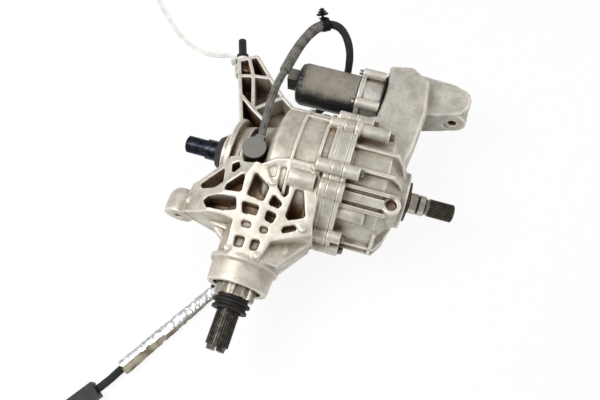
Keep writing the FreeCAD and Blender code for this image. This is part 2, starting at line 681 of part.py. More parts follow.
def bevel_gear(name, own, mate, module, face, bore, back, flat=False):
    """Straight bevel gear about Z with the apex of its cone at the origin.

    A flat gear, with a wide cone, has its tooth sections square to the radius instead of the axis.
    """
    cone = "(%s / 2 * sqrt(%s^2 + %s^2))" % (module, own, mate)
    pitch = "atan2(%s; %s)" % (own, mate)
    tip = "(%s + atan(0.75 * %s / %s))" % (pitch, module, cone)
    root = "(%s - atan(1.05 * %s / %s))" % (pitch, module, cone)
    radius = "(%s * %s / 2)" % (module, own)
    height = "(%s * %s / 2)" % (module, mate)
    near = "((%s - %s) / %s)" % (cone, face, cone)
    half = "(0.58 * %s)" % module
    top = "(0.3 * %s)" % module
    foot = "(0.92 * %s)" % module
    body = doc.addObject("PartDesign::Body", name)
    if flat:
        root_out = (radius, "%s / tan(%s)" % (radius, root))
        root_in = ("%s * %s" % (radius, near), "%s * %s / tan(%s)" % (radius, near, root))
    else:
        root_out = ("%s * tan(%s)" % (height, root), height)
        root_in = ("%s * %s * tan(%s)" % (height, near, root), "%s * %s" % (height, near))
    blank = outline(body, [(bore, root_in[1]), root_in, root_out, (root_out[0], back), (bore, back)],
                    "XZ_Plane")
    turn = body.newObject("PartDesign::Revolution", name + "_blank")
    turn.Profile = blank
    turn.ReferenceAxis = (blank, ["V_Axis"])
    turn.Angle = 360
    sections = []
    for scale in ("1", near):
        if flat:
            far = "%s * %s" % (radius, scale)
            low = "%s / tan(%s) + 0.1 * %s" % (far, root, module)
            high = "%s / tan(%s)" % (far, tip)
            corners = [("-%s * %s" % (foot, scale), low), ("%s * %s" % (foot, scale), low),
                       ("%s * %s" % (top, scale), high), ("-%s * %s" % (top, scale), high)]
            sections.append(outline(body, corners, "YZ_Plane", far))
        else:
            level = "%s * %s" % (height, scale)
            low = "%s * tan(%s) - 0.1 * %s" % (level, root, module)
            high = "%s * tan(%s)" % (level, tip)
            corners = [(low, "-%s * %s" % (foot, scale)), (low, "%s * %s" % (foot, scale)),
                       (high, "%s * %s" % (top, scale)), (high, "-%s * %s" % (top, scale))]
            sections.append(outline(body, corners, "XY_Plane", level))
    tooth_loft(body, sections, own, "Z_Axis")
    return body


def splined(name, start, end, radius, teeth, about, depth="1.2"):
    """Stretch of a shaft with straight teeth raised on a core."""
    body = doc.addObject("PartDesign::Body", name)
    plane = "YZ_Plane" if about == "X" else "XZ_Plane"
    core = sketch_on(body, plane, start)
    root = "(%s - %s)" % (radius, depth)
    core.addGeometry(Part.Circle(vec(), vec(0, 0, 1), amount(root)))
    core.addConstraint(Sketcher.Constraint("Coincident", 0, 3, -1, 1))
    number = core.addConstraint(Sketcher.Constraint("Radius", 0, amount(root)))
    bind(core, "Constraints[%d]" % number, root)
    pad = body.newObject("PartDesign::Pad", name + "_core")
    pad.Profile = core
    bind(pad, "Length", "(%s) - (%s)" % (end, start))
    width = "(pi * %s / %d / 2)" % (radius, teeth)
    tooth = outline(body, [(root + " - 0.5", "-" + width), (root + " - 0.5", width),
                           (radius, "%s * 0.6" % width), (radius, "-%s * 0.6" % width)], plane, start)
    raised = body.newObject("PartDesign::Pad", name + "_tooth")
    raised.Profile = tooth
    bind(raised, "Length", "(%s) - (%s)" % (end, start))
    pattern = body.newObject("PartDesign::PolarPattern", name + "_teeth")
    pattern.Originals = [raised]
    pattern.Axis = (origin_part(body, "X_Axis" if about == "X" else "Y_Axis"), [""])
    pattern.Angle = 360
    pattern.Occurrences = teeth
    body.Tip = pattern
    return body


toward_nose = FreeCAD.Rotation(vec(1, 0, 0), vec(0, 0, 1), vec(0, -1, 0), "ZXY")
ring_turn = FreeCAD.Rotation(vec(0, -1, 0), vec(0, 0, -1), vec(1, 0, 0), "ZXY")
toward_right = FreeCAD.Rotation(vec(0, 1, 0), 90)
toward_left = FreeCAD.Rotation(vec(0, 1, 0), -90)
upside_down = FreeCAD.Rotation(vec(1, 0, 0), 180)


def spin(turn, share):
    """Turn a gear about its own axis by a share of a full turn."""
    return turn.multiply(FreeCAD.Rotation(vec(0, 0, 1), 360 * share))


pinion_reach = "drive_module * ring_teeth / 2"


def drive_pinion():
    """Bevel pinion in one piece with its shaft: two journals, a thread land, a spline, a slotted tip."""
    gear = bevel_gear("pinion_gear", "pinion_teeth", "ring_teeth", "drive_module", "drive_face", "0",
                      pinion_reach + " + 12")
    gear.Placement = FreeCAD.Placement(vec(), spin(toward_nose, 0.5 / driving["pinion_teeth"]))
    shaft = turned("pinion_shaft", [
        ("0", "-90"), ("head_journal_r", "-90"), ("head_journal_r", "-120"), ("tail_journal_r + 1", "-120"),
        ("tail_journal_r + 1", "-165"), ("tail_journal_r", "-166"), ("tail_journal_r", "-222"),
        ("pinion_spline_r - 2", "-226"), ("pinion_spline_r - 2", "pinion_spline - 45"),
        ("pinion_spline_r - 3.5", "pinion_tip"), ("0", "pinion_tip")], "Y")
    spline = splined("pinion_spline_part", "-pinion_spline", "-pinion_spline + 48", "pinion_spline_r", 30, "Y")
    slot = block("pinion_slot", ("-3", "pinion_tip", "-20"), "6", "6", "40")
    solid = joined("pinion_solid", [gear, shaft, spline])
    finish(less("pinion_cut", solid, slot), "drive_pinion")


def pinion_fittings():
    """Spacer between the bearings, the many-sided nut and the two rubber deflectors."""
    spacer = sleeve("spacer_ring", "-165.9", "-120.1", "tail_journal_r + 1 + seat_gap", "tail_journal_r + 5", "Y")
    finish(spacer, "pinion_spacer")
    collar = sleeve("nut_collar", "-203", "-184.1", "tail_journal_r + seat_gap", "tail_journal_r + 5", "Y")
    crown = splined("nut_crown", "203", "218", "30", 12, "Y", "4")
    thread = rod("nut_bore", ("0", "-218", "0"), "Y", "tail_journal_r + seat_gap", "15")
    finish(joined("nut_solid", [collar, less("nut_ring", crown, thread)]), "pinion_nut")
    for name, front, lip in (("deflector_inner", "-228", "28"), ("deflector_outer", "-238", "26")):
        ring = turned(name + "_ring", [
            ("tail_journal_r + seat_gap", front), (lip, front), (lip, front + " + 3"),
            ("23", front + " + 6"), ("23", front + " + 9.9"), ("tail_journal_r + seat_gap", front + " + 9.9")], "Y")
        finish(ring, name)


def carrier():
    """Differential case with ring gear, its bolts and the cross pin."""
    ring = bevel_gear("ring_gear_body", "ring_teeth", "pinion_teeth", "drive_module", "drive_face",
                      "case_r + seat_gap", "case_flange_x - 0.1", flat=True)
    finish(ring, "ring_gear", turn=ring_turn)
    shell = turned("case_shell", [
        ("-67.5", "0"), ("-67.5", "trunnion_r"), ("-50.5", "trunnion_r"), ("-50.5", "30"), ("case_left", "30"),
        ("case_left + 6", "case_r"), ("case_flange_x", "case_r"), ("case_flange_x", "case_flange_r"),
        ("case_flange_x + 8", "case_flange_r"), ("case_flange_x + 8", "56"), ("case_flange_x + 14", "30"),
        ("seam_x + 1.5", "30"),
        ("seam_x + 1.5", "trunnion_r"), ("drum_x + 6", "trunnion_r"), ("drum_x + 6", "0")])
    inside = turned("case_inside", [
        ("-74", "0"), ("-74", "output_r + running_gap"), ("case_left + 8", "output_r + running_gap"),
        ("case_left + 8", "30"), ("-26", "case_bore"), ("26", "case_bore"), ("-case_left - 8", "30"),
        ("-case_left - 8", "output_r + running_gap"), ("drum_x + 6", "output_r + running_gap"),
        ("drum_x + 6", "0")])
    window = block("case_window", ("-24", "-60", "-16"), "48", "120", "32")
    pin_bore = rod("case_pin_bore", ("0", "0", "-case_r"), "Z", "pin_r + seat_gap", "2 * case_r")
    hollow = joined("case_hollow", [inside, window, pin_bore])
    finish(less("case_cut", shell, hollow), "differential_case")
    screws = []
    for number in range(8):
        where = around(45 * number + 22.5, "66")
        screws.append(rod("ring_screw_%d" % number, ("case_flange_x + 8.1", *where), "X", "6.5", "7"))
    finish(joined("ring_screws", screws), "ring_gear_bolts")
    pin = rod("cross_pin_rod", ("0", "0", "-case_r + 1"), "Z", "pin_r", "2 * case_r - 2")
    finish(pin, "cross_pin", z="-case_r + 1", turn=turns["Z"])


def differential_gears():
    """Two spider gears on the cross pin between two side gears."""
    for name, turn in (("spider_gear_top", turns["Z"]), ("spider_gear_bottom", upside_down)):
        spider = bevel_gear(name + "_body", "spider_teeth", "side_teeth", "side_module", "side_face",
                            "pin_r + running_gap", "side_module * side_teeth / 2 + 6")
        finish(spider, name, turn=turn)
    for name, turn in (("side_gear_left", toward_left), ("side_gear_right", toward_right)):
        gear = bevel_gear(name + "_body", "side_teeth", "spider_teeth", "side_module", "side_face",
                          "output_r + seat_gap", "-case_left - 9")
        finish(gear, name, turn=spin(turn, 0.5 / driving["side_teeth"]))


def output_shafts():
    """Splined output stubs: the left one short, the right one through the clutch."""
    left = turned("left_shaft", [
        ("left_tip", "0"), ("left_tip", "spline_r - 2.5"), ("left_tip + 1.5", "spline_r - 1.3"),
        ("left_spline", "spline_r - 1.3"), ("left_spline", "neck_r"), ("hub_end - 13", "neck_r"),
        ("hub_end - 13", "output_r"), ("-14", "output_r"), ("-14", "0")])
    left_spline = splined("left_spline_part", "left_tip + 1.5", "left_spline + 1", "spline_r", 27, "X")
    finish(joined("left_shaft_solid", [left, left_spline]), "left_output_shaft")
    right = turned("right_shaft", [
        ("14", "0"), ("14", "output_r"), ("cover_end + 7", "output_r"), ("cover_end + 7", "neck_r"),
        ("cover_end + 19", "neck_r"), ("cover_end + 19", "neck_r - 2"), ("cover_end + 22", "neck_r - 2"),
        ("cover_end + 22", "neck_r - 0.5"), ("right_spline - 6", "neck_r - 0.5"),
        ("right_spline - 4", "spline_r - 1.3"), ("right_tip - 1.5", "spline_r - 1.3"),
        ("right_tip", "spline_r - 2.5"), ("right_tip", "0")])
    right_spline = splined("right_spline_part", "right_spline", "right_tip - 1.5", "spline_r", 27, "X")
    finish(joined("right_shaft_solid", [right, right_spline]), "right_output_shaft")


def clutch():
    """Drum on the case, hub on the right shaft, plates between, pressure plate and ball ramps."""
    drum = turned("drum_shell", [
        ("drum_x", "trunnion_r + seat_gap"), ("drum_x", "drum_r"), ("press_x - 2", "drum_r"),
        ("press_x - 2", "drum_bore"), ("drum_x + 5", "drum_bore"), ("drum_x + 5", "trunnion_r + seat_gap")])
    finish(drum, "clutch_drum")
    hub = sleeve("hub_ring", "drum_x + 7", "press_x - 3", "output_r + seat_gap", "hub_out")
    finish(hub, "clutch_hub")
    for number in range(3):
        start = "pack_x + %d * pack_pitch" % number
        outer = sleeve("outer_%d" % number, start, start + " + plate_thick", "plate_in", "drum_bore - seat_gap")
        finish(outer, "outer_plate_%d" % (number + 1))
        start += " + pack_pitch / 2"
        inner = sleeve("inner_%d" % number, start, start + " + plate_thick", "hub_out + seat_gap",
                       "drum_bore - 2")
        finish(inner, "inner_plate_%d" % (number + 1))
    race_x = "(press_x + press_width + gear_x) / 2"
    press = turned("press_ring", [
        ("press_x", "plate_in"), ("press_x", "drum_bore - 2"), ("press_x + press_width", "drum_bore - 2"),
        ("press_x + press_width", "ball_circle + ball_r + 0.5"), ("press_x + press_width - 3", "ball_circle + 2"),
        ("press_x + press_width - 3", "ball_circle - 2"), ("press_x + press_width", "ball_circle - ball_r - 0.5"),
        ("press_x + press_width", "plate_in")])
    finish(press, "pressure_plate")
    balls = []
    for number in range(6):
        ball = doc.addObject("Part::Sphere", "ball_%d" % number)
        bind(ball, "Radius", "ball_r")
        y, z = around(60 * number, "ball_circle")
        balls.append(move(ball, race_x, y, z))
    cage = sleeve("ball_cage", race_x + " - 0.8", race_x + " + 0.8", "plate_in + seat_gap", "ball_circle + 6")
    finish(joined("ball_set", balls + [cage]), "ramp_balls")
    ring = turned("ramp_ring", [
        ("gear_x", "plate_in"), ("gear_x", "ball_circle - ball_r - 0.5"), ("gear_x + 3", "ball_circle - 2"),
        ("gear_x + 3", "ball_circle + 2"), ("gear_x", "ball_circle + ball_r + 0.5"),
        ("gear_x", "gear_module * (ramp_teeth / 2 - 1.2)"),
        ("gear_x + gear_width", "gear_module * (ramp_teeth / 2 - 1.2)"), ("gear_x + gear_width", "plate_in")])
    finish(spur_teeth(ring, "ramp_teeth", "gear_x"), "ramp_gear")
    lean_to_motor(ring)


def spur_teeth(body, teeth, start):
    """Add straight teeth round a disc that turns about X."""
    rim = "gear_module * (%s / 2 - 1.2)" % teeth
    crest = "gear_module * (%s / 2 + 0.8)" % teeth
    tooth = outline(body, [(rim + " - 0.5", "-0.9 * gear_module"), (rim + " - 0.5", "0.9 * gear_module"),
                           (crest, "0.28 * gear_module"), (crest, "-0.28 * gear_module")], "YZ_Plane", start)
    raised = body.newObject("PartDesign::Pad", body.Name + "_tooth")
    raised.Profile = tooth
    bind(raised, "Length", "gear_width")
    pattern = body.newObject("PartDesign::PolarPattern", body.Name + "_teeth")
    pattern.Originals = [raised]
    pattern.Axis = (origin_part(body, "X_Axis"), [""])
    pattern.Angle = 360
    bind(pattern, "Occurrences", teeth)
    body.Tip = pattern
    return body


# The idler sits between ramp gear and motor pinion on the line that joins their axes.
motor_reach = "sqrt(motor_y^2 + motor_z^2)"
idler_reach = "gear_module * (ramp_teeth + idler_teeth) / 2"
idler_y = "motor_y * %s / %s" % (idler_reach, motor_reach)
idler_z = "motor_z * %s / %s" % (idler_reach, motor_reach)


def gear_train():
    """Idler on its pin and the motor shaft with its pinion."""
    disc = sleeve("idler_disc", "gear_x", "gear_x + gear_width", "6 + running_gap",
                  "gear_module * (idler_teeth / 2 - 1.2)")
    spur_teeth(disc, "idler_teeth", "gear_x")
    finish(disc, "idler_gear", y=idler_y, z=idler_z)
    lean_to_motor(disc, "180 deg / idler_teeth")
    finish(rod("idler_pin_rod", ("gear_x - 11", idler_y, idler_z), "X", "6", "gear_width + 20"), "idler_pin",
           x="gear_x - 11", y=idler_y, z=idler_z, turn=turns["X"])
    shaft = turned("motor_rotor", [
        ("can_left + 12", "0"), ("can_left + 12", "22"), ("can_right - 14", "22"), ("can_right - 14", "6"),
        ("gear_x", "6"), ("gear_x", "gear_module * (motor_teeth / 2 - 1.2)"),
        ("gear_x + gear_width", "gear_module * (motor_teeth / 2 - 1.2)"), ("gear_x + gear_width", "0")])
    spur_teeth(shaft, "motor_teeth", "gear_x")
    finish(shaft, "motor_shaft", y="motor_y", z="motor_z")
    lean_to_motor(shaft)


def motor():
    """Deep-drawn can, end block with socket, and the adapter that bolts to the gear case."""
    can = turned("can_shell", [
        ("can_left + 2", "0"), ("can_left + 2", "12"), ("can_left", "14"), ("can_left", "can_r - 9"),
        ("can_left + 3", "can_r - 3"), ("can_left + 10", "can_r"), ("can_right", "can_r"),
        ("can_right", "can_r - 2"), ("can_left + 10", "can_r - 2"), ("can_left + 6", "can_r - 6"),
        ("can_left + 6", "0")])
    finish(can, "motor_can", y="motor_y", z="motor_z")
    end = rod("end_disc", ("can_left - 14", "0", "0"), "X", "11.9", "15.9")
    socket = block("end_socket", ("can_left - 17", "-11", "-9"), "16", "22", "30")
    finish(joined("end_block", [end, socket]), "motor_end_block", y="motor_y", z="motor_z")
    flange = sleeve("adapter_flange", "can_right + 0.1", "can_right + 8", "14", "can_r + 2")
    barrel = sleeve("adapter_barrel", "can_right + 8", "adapter_right - 1.5", "14", "can_r - 3")
    journal = sleeve("adapter_journal", "adapter_right - 14", "adapter_right - 4", "6 + seat_gap", "15")
    towers = []
    holes = []
    for number, angle in enumerate((45, 135, 225, 315)):
        where = around(angle, "can_r + 6")
        towers.append(rod("tower_%d" % number, ("can_right + 0.1", *where), "X", "8",
                          "adapter_right - can_right - 1.6"))
        holes.append(rod("tower_bore_%d" % number, ("can_right", *where), "X", "3.1",
                         "adapter_right - can_right"))
    adapter = less("adapter_cut", joined("adapter_solid", [flange, barrel, journal] + towers),
                   joined("adapter_bores", holes))
    finish(adapter, "motor_adapter", y="motor_y", z="motor_z")
    gasket = sleeve("gasket_ring", "adapter_right - 1.4", "adapter_right - 0.1", "16", "can_r + 8")
    finish(gasket, "motor_gasket", y="motor_y", z="motor_z")
    screws = []
    for number, angle in enumerate((45, 135, 225, 315)):
        where = around(angle, "can_r + 6")
        screws.append(rod("motor_screw_%d" % number, ("can_right - 6", *where), "X", "4.9", "6"))
        screws.append(rod("motor_shank_%d" % number, ("can_right", *where), "X", "3", "adapter_right - can_right - 2"))
    finish(joined("motor_screws", screws), "motor_bolts", y="motor_y", z="motor_z")


def small_pieces():
    """Sensor, plugs and the stud on the rear arm."""
    base = "puck_top - puck_height"
    body = rod("puck_body", ("puck_x", "puck_y", base + " + 0.1"), "Z", "puck_r", "puck_height - 5")
    cap = rod("puck_cap", ("puck_x", "puck_y", "puck_top - 6"), "Z", "puck_r + 1", "6")
    exit_block = block("puck_exit", ("puck_x - 5", "puck_y + 10", "puck_top - 14"), "14", "14", "10")
    finish(joined("puck_solid", [body, cap, exit_block]), "speed_sensor")
    plugs = []
    for name, y, z in (("fill", "92.1", "0"), ("drain", "74.1", "-66")):
        plugs.append(rod(name + "_thread", ("50", y, z), "Y", "11 - seat_gap", "14"))
        plugs.append(rod(name + "_head", ("50", y + " + 14", z), "Y", "13", "4"))
    finish(joined("plug_set", plugs), "service_plugs")
    stud = rod("stud_rod", ("0", "-13.9", "0"), "Y", "stud_r - seat_gap", "stud_len + 13.9")
    sleeve_part = rod("stud_collar", ("0", "0.1", "0"), "Y", "lug_r", "22")
    finish(joined("stud_solid", [stud, sleeve_part]), "arm_stud", "lug_x", "lug_y", "2",
           FreeCAD.Rotation(vec(0, 0, 1), driving["lug_lean"]))


def rounded_path(points):
    """Straight runs joined by tangent arcs, each as large as its two runs allow."""
    edges = []
    radii = []
    start = points[0]
    for before, corner, after in zip(points, points[1:], points[2:]):
        back = (before - corner).normalize()
        ahead = (after - corner).normalize()
        half_turn = (math.pi - back.getAngle(ahead)) / 2
        reach = 0.45 * min((before - corner).Length, (after - corner).Length)
        radius = reach / math.tan(half_turn)
        radii.append(round(radius))
        centre = corner + (back + ahead).normalize() * (radius / math.cos(half_turn))
        middle = centre + (corner - centre).normalize() * radius
        entry = corner + back * reach
        leave = corner + ahead * reach
        edges.append(Part.LineSegment(start, entry).toShape())
        edges.append(Part.Arc(entry, middle, leave).toShape())
        start = leave
    edges.append(Part.LineSegment(start, points[-1]).toShape())
    return Part.Wire(edges), radii


def swept(label, route, outline_of):
    """Soft piece with one section along a route of hand-chosen points."""
    points = [vec(*spot) for spot in route]
    path, radii = rounded_path(points)
    section = outline_of(points[0], points[1] - points[0])
    tube = path.makePipeShell([section], True, False)
    expected = Part.Face(section).Area * path.Length
    print(label, "radii", radii, "volume ratio", round(tube.Volume / expected, 4))
    feature = doc.addObject("Part::Feature", label + "_sweep")
    feature.Shape = tube
    return feature


def cord(label, route, diameter):
    def circle(start, heading):
        return Part.Wire([Part.Circle(start, heading, diameter / 2).toShape()])

    finish(swept(label, route, circle), label)


floor_gap = 0.3
lead_route = [(-27, 12, 71), (-27, 38, 84), (-28, 68, 92), (-27, 96, 91), (-25, 121.5, 85)]
conduit_route = [(-25, 122.6, 85), (-22, 153, 82), (-16.5, 184, 81), (-7, 212, 80.5), (3, 226.6, 80),
                 (13, 233.4, 79.5)]
rear_route = [(14.9, 234.2, 79.38), (28, 238.5, 78.5), (46, 229.5, 71), (59, 213, 55), (62.5, 200, 30),
              (61, 197, -2), (57, 194, -30), (42, 183, -60), (14, 161, -84), (-23, 129, -101), (-48, 82, -105.1),
              (-54, 28, -105.2), (-50, -26, -105.2), (-44, -80, -105.2), (-42, -134, -105.2), (-47, -186, -105.2)]
tail_route = [(-151, -357, -104.7), (-160, -375, -104.7), (-172, -392, -104.7)]
tie_route = [(-142, 178, 14), (-160, 166, 20), (-182, 161, 25), (-208, 168, 26), (-238, 186, 25),
             (-268, 213, 23), (-298, 243, 21), (-321, 271, 20)]


def harness():
    """Wiring that is still on the unit: sensor lead, conduit, clip, foil sleeve and tail."""
    cord("sensor_lead", lead_route, 12)
    cord("corrugated_conduit", conduit_route, 17)
    cord("rear_conduit", rear_route, 13)
    cord("tail_conduit", tail_route, 14)
    band = sleeve("clip_band", "-9", "-3", "8.8", "10.8")
    foot = rod("clip_foot", ("-6", "10", "0"), "Y", "7", "2")
    fins = rod("clip_fins", ("-6", "17", "0"), "Y", "10", "2")
    stem = rod("clip_stem", ("-6", "10", "0"), "Y", "3", "18")
    heading = (vec(*conduit_route[-1]) - vec(*conduit_route[-2])).normalize()
    upright = vec(0, 0, 4).cross(heading) * 0.15 + vec(0, 0, 0.8)
    place = conduit_route[-1]
    finish(joined("clip_solid", [band, foot, fins, stem]), "conduit_clip", place[0], place[1], place[2],
           FreeCAD.Rotation(heading, upright, vec(), "XYZ"))
    foil = slab("foil_outline", [("0", "-9"), ("110", "-12"), ("195", "-17"), ("195", "17"), ("110", "13"),
                                 ("0", "10")], "0", "13")
    course = vec(*tail_route[0]) - vec(*rear_route[-1])
    finish(foil, "foil_sleeve", rear_route[-1][0] - 2, rear_route[-1][1] - 3.2, "%s - axle_height" % floor_gap,
           FreeCAD.Rotation(vec(0, 0, 1), math.degrees(math.atan2(course.y, course.x))))
    shell = block("plug_shell", ("1", "-13", "0"), "44", "26", "19")
    neck = rod("plug_neck", ("0.2", "0", "9.5"), "X", "9", "3")
    nose = block("plug_nose", ("45", "-10", "3"), "9", "20", "13")
    way = vec(*tail_route[-1]) - vec(*tail_route[-2])
    finish(joined("plug_solid", [shell, neck, nose]), "tail_plug", tail_route[-1][0], tail_route[-1][1],
           "%s - axle_height" % floor_gap,
           FreeCAD.Rotation(vec(0, 0, 1), math.degrees(math.atan2(way.y, way.x))))


def cable_tie():
    """Tie round the lug of the rear arm, with its lock and long free tail."""
    band = sleeve("tie_band", "6", "13", "lug_r + 0.4", "lug_r + 2", "Y")
    lock = block("tie_lock", ("-lug_r - 9", "5", "-3"), "8", "9", "16")
    round_lug = joined("tie_loop", [band, lock])
    move(round_lug, "lug_x", "lug_y", "2", FreeCAD.Rotation(vec(0, 0, 1), driving["lug_lean"]))

    def strap(start, heading):
        side = heading.cross(vec(0, 0, 1)).normalize() * 4
        thick = side.cross(heading).normalize() * 0.8
        spots = [start + side + thick, start + side - thick, start - side - thick, start - side + thick]
        return Part.makePolygon(spots + spots[:1])

    tail = swept("tie_tail", tie_route, strap)
    finish(joined("tie_solid", [round_lug, tail]), "cable_tie")


def main():
    main_housing()
    intermediate_plate()
    right_cover()
    seam_bolts()
    seals()
    bearings()
    drive_pinion()
    pinion_fittings()
    carrier()
    differential_gears()
    output_shafts()
    clutch()
    gear_train()
    motor()
    small_pieces()
    harness()
    cable_tie()


main()
doc.recompute()

for thing in doc.Objects:
    if {"Invalid", "Error"} & set(thing.State):
        raise RuntimeError("failed: " + thing.Name)
for piece in pieces:
    if piece.Shape.isNull() or not piece.Shape.isValid():
        raise RuntimeError("bad shape: " + piece.Label)

os.makedirs("parts", exist_ok=True)
for piece in pieces:
    piece.Shape.exportStep("parts/%s.step" % piece.Label)
    print(piece.Label, len(piece.Shape.Solids), round(piece.Shape.Volume))
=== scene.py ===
# A rear axle drive with its own locking clutch and motor, taken off a car and laid on a pale table.
import math

import bmesh
import bpy
import numpy
from mathutils import Matrix, Vector, noise


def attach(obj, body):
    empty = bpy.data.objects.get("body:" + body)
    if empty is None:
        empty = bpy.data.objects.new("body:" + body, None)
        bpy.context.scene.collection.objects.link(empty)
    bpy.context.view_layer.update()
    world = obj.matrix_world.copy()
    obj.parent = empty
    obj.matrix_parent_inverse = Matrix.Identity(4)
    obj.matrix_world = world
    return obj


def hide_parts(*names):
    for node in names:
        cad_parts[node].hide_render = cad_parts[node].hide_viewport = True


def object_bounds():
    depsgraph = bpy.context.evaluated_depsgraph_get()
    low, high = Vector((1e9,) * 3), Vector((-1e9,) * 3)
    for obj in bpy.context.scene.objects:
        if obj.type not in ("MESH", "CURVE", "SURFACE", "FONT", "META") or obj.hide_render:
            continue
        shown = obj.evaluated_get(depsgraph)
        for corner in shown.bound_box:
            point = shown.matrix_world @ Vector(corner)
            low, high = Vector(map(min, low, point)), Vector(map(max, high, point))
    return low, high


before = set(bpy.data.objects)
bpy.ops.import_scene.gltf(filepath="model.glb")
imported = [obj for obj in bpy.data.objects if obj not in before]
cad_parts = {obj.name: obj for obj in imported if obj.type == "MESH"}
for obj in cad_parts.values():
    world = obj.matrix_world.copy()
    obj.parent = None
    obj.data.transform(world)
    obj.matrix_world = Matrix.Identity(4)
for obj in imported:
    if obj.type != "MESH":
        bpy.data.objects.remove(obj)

cad_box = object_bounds()
axle_height = 0.112


# The castings: main housing, intermediate plate, clutch cover and motor adapter, high-pressure die cast in
# an aluminium-silicon alloy. Every edge and corner is rounded, as it has to be to leave the die. The skin
# is matt; its edges are paler, partly rubbed and partly a painted highlight; brown road dirt and rust dust
# have settled in the pockets between the ribs, which also carry painted shade.
def settle(piece):
    """Turns a piece's modifiers into its own mesh."""
    graph = bpy.context.evaluated_depsgraph_get()
    graph.update()
    mesh = bpy.data.meshes.new_from_object(piece.evaluated_get(graph))
    piece.modifiers.clear()
    piece.data = mesh


def note_relief(mesh, size, blurs):
    """Stores how far each place stands out of its surroundings: above 0 on edges, below 0 in corners."""
    count, links = len(mesh.vertices), len(mesh.edges)
    places, normals = numpy.empty(count * 3), numpy.empty(count * 3)
    ends = numpy.empty(links * 2, dtype=numpy.int64)
    mesh.vertices.foreach_get("co", places)
    mesh.vertices.foreach_get("normal", normals)
    mesh.edges.foreach_get("vertices", ends)
    places, normals, ends = places.reshape(-1, 3), normals.reshape(-1, 3), ends.reshape(-1, 2)
    first, second = ends[:, 0], ends[:, 1]
    share = numpy.bincount(first, minlength=count) + numpy.bincount(second, minlength=count)
    share = numpy.maximum(share, 1)
    reach = places[second] - places[first]
    relief = numpy.bincount(first, weights=(reach * normals[first]).sum(1), minlength=count)
    relief -= numpy.bincount(second, weights=(reach * normals[second]).sum(1), minlength=count)
    relief = -relief / share / size
    for _ in range(blurs):
        around = numpy.bincount(first, weights=relief[second], minlength=count)
        around += numpy.bincount(second, weights=relief[first], minlength=count)
        relief = (relief + around / share) / 2
    layer = mesh.attributes.new("relief", "FLOAT", "POINT")
    layer.data.foreach_set("value", relief.astype(numpy.float32))


def rounded(node, grid, rounds, material, most=190000):
    """A copy of a CAD solid with soft edges and corners, made on a fine grid and thinned to most triangles."""
    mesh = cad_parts[node].data.copy()
    shape = bmesh.new()
    shape.from_mesh(mesh)
    bmesh.ops.remove_doubles(shape, verts=shape.verts, dist=1e-6)
    shape.to_mesh(mesh)
    shape.free()
    piece = bpy.data.objects.new(node + "_rounded", mesh)
    bpy.context.scene.collection.objects.link(piece)
    skin = piece.modifiers.new("skin", "REMESH")
    skin.mode = "VOXEL"
    skin.voxel_size = grid
    ease = piece.modifiers.new("ease", "SMOOTH")
    ease.factor = 0.5
    ease.iterations = rounds
    settle(piece)
    note_relief(piece.data, grid, 2)
    thin = piece.modifiers.new("thin", "DECIMATE")
    thin.ratio = min(1, most / (2 * len(piece.data.polygons)))
    settle(piece)
    piece.data.materials.clear()
    piece.data.materials.append(material)
    for face in piece.data.polygons:
        face.use_smooth = True
        face.material_index = 0
    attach(piece, "housing")
    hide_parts(node)
    return piece


def tone(code):
    """A colour written as sRGB hex, turned to the linear values that a shader works in."""
    parts = [int(code[i:i + 2], 16) / 255 for i in (1, 3, 5)]
    return [c / 12.92 if c <= 0.04045 else ((c + 0.055) / 1.055) ** 2.4 for c in parts] + [1]


def grey(level):
    """A share from 0 to 1 as a colour stop."""
    return [level, level, level, 1]


def add(tree, kind, settings={}, inputs={}, stops=()):
    """One shader node with its settings, its input values or links, and its colour stops if it has them."""
    node = tree.nodes.new("ShaderNode" + kind)
    for name, value in settings.items():
        setattr(node, name, value)
    for name, value in inputs.items():
        if isinstance(value, bpy.types.NodeSocket):
            tree.links.new(value, node.inputs[name])
        else:
            node.inputs[name].default_value = value
    for index, (place, colour) in enumerate(stops):
        stop = node.color_ramp.elements[index] if index < 2 else node.color_ramp.elements.new(place)
        stop.position = place
        stop.color = colour
    return node


def new_material(name):
    """An empty material, its node tree and its shader."""
    material = bpy.data.materials.new(name)
    material.use_nodes = True
    return material, material.node_tree, material.node_tree.nodes["Principled BSDF"]


def wire(tree, shader, **sources):
    """Links a node's first output to each named input of the shader, as in base_color=node."""
    for name, source in sources.items():
        tree.links.new(source.outputs[0], shader.inputs[name.replace("_", " ").title()])


def dress(material, *nodes):
    """Gives CAD nodes one material in every slot."""
    for name in nodes:
        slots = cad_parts[name].data.materials
        for index in range(len(slots)):
            slots[index] = material


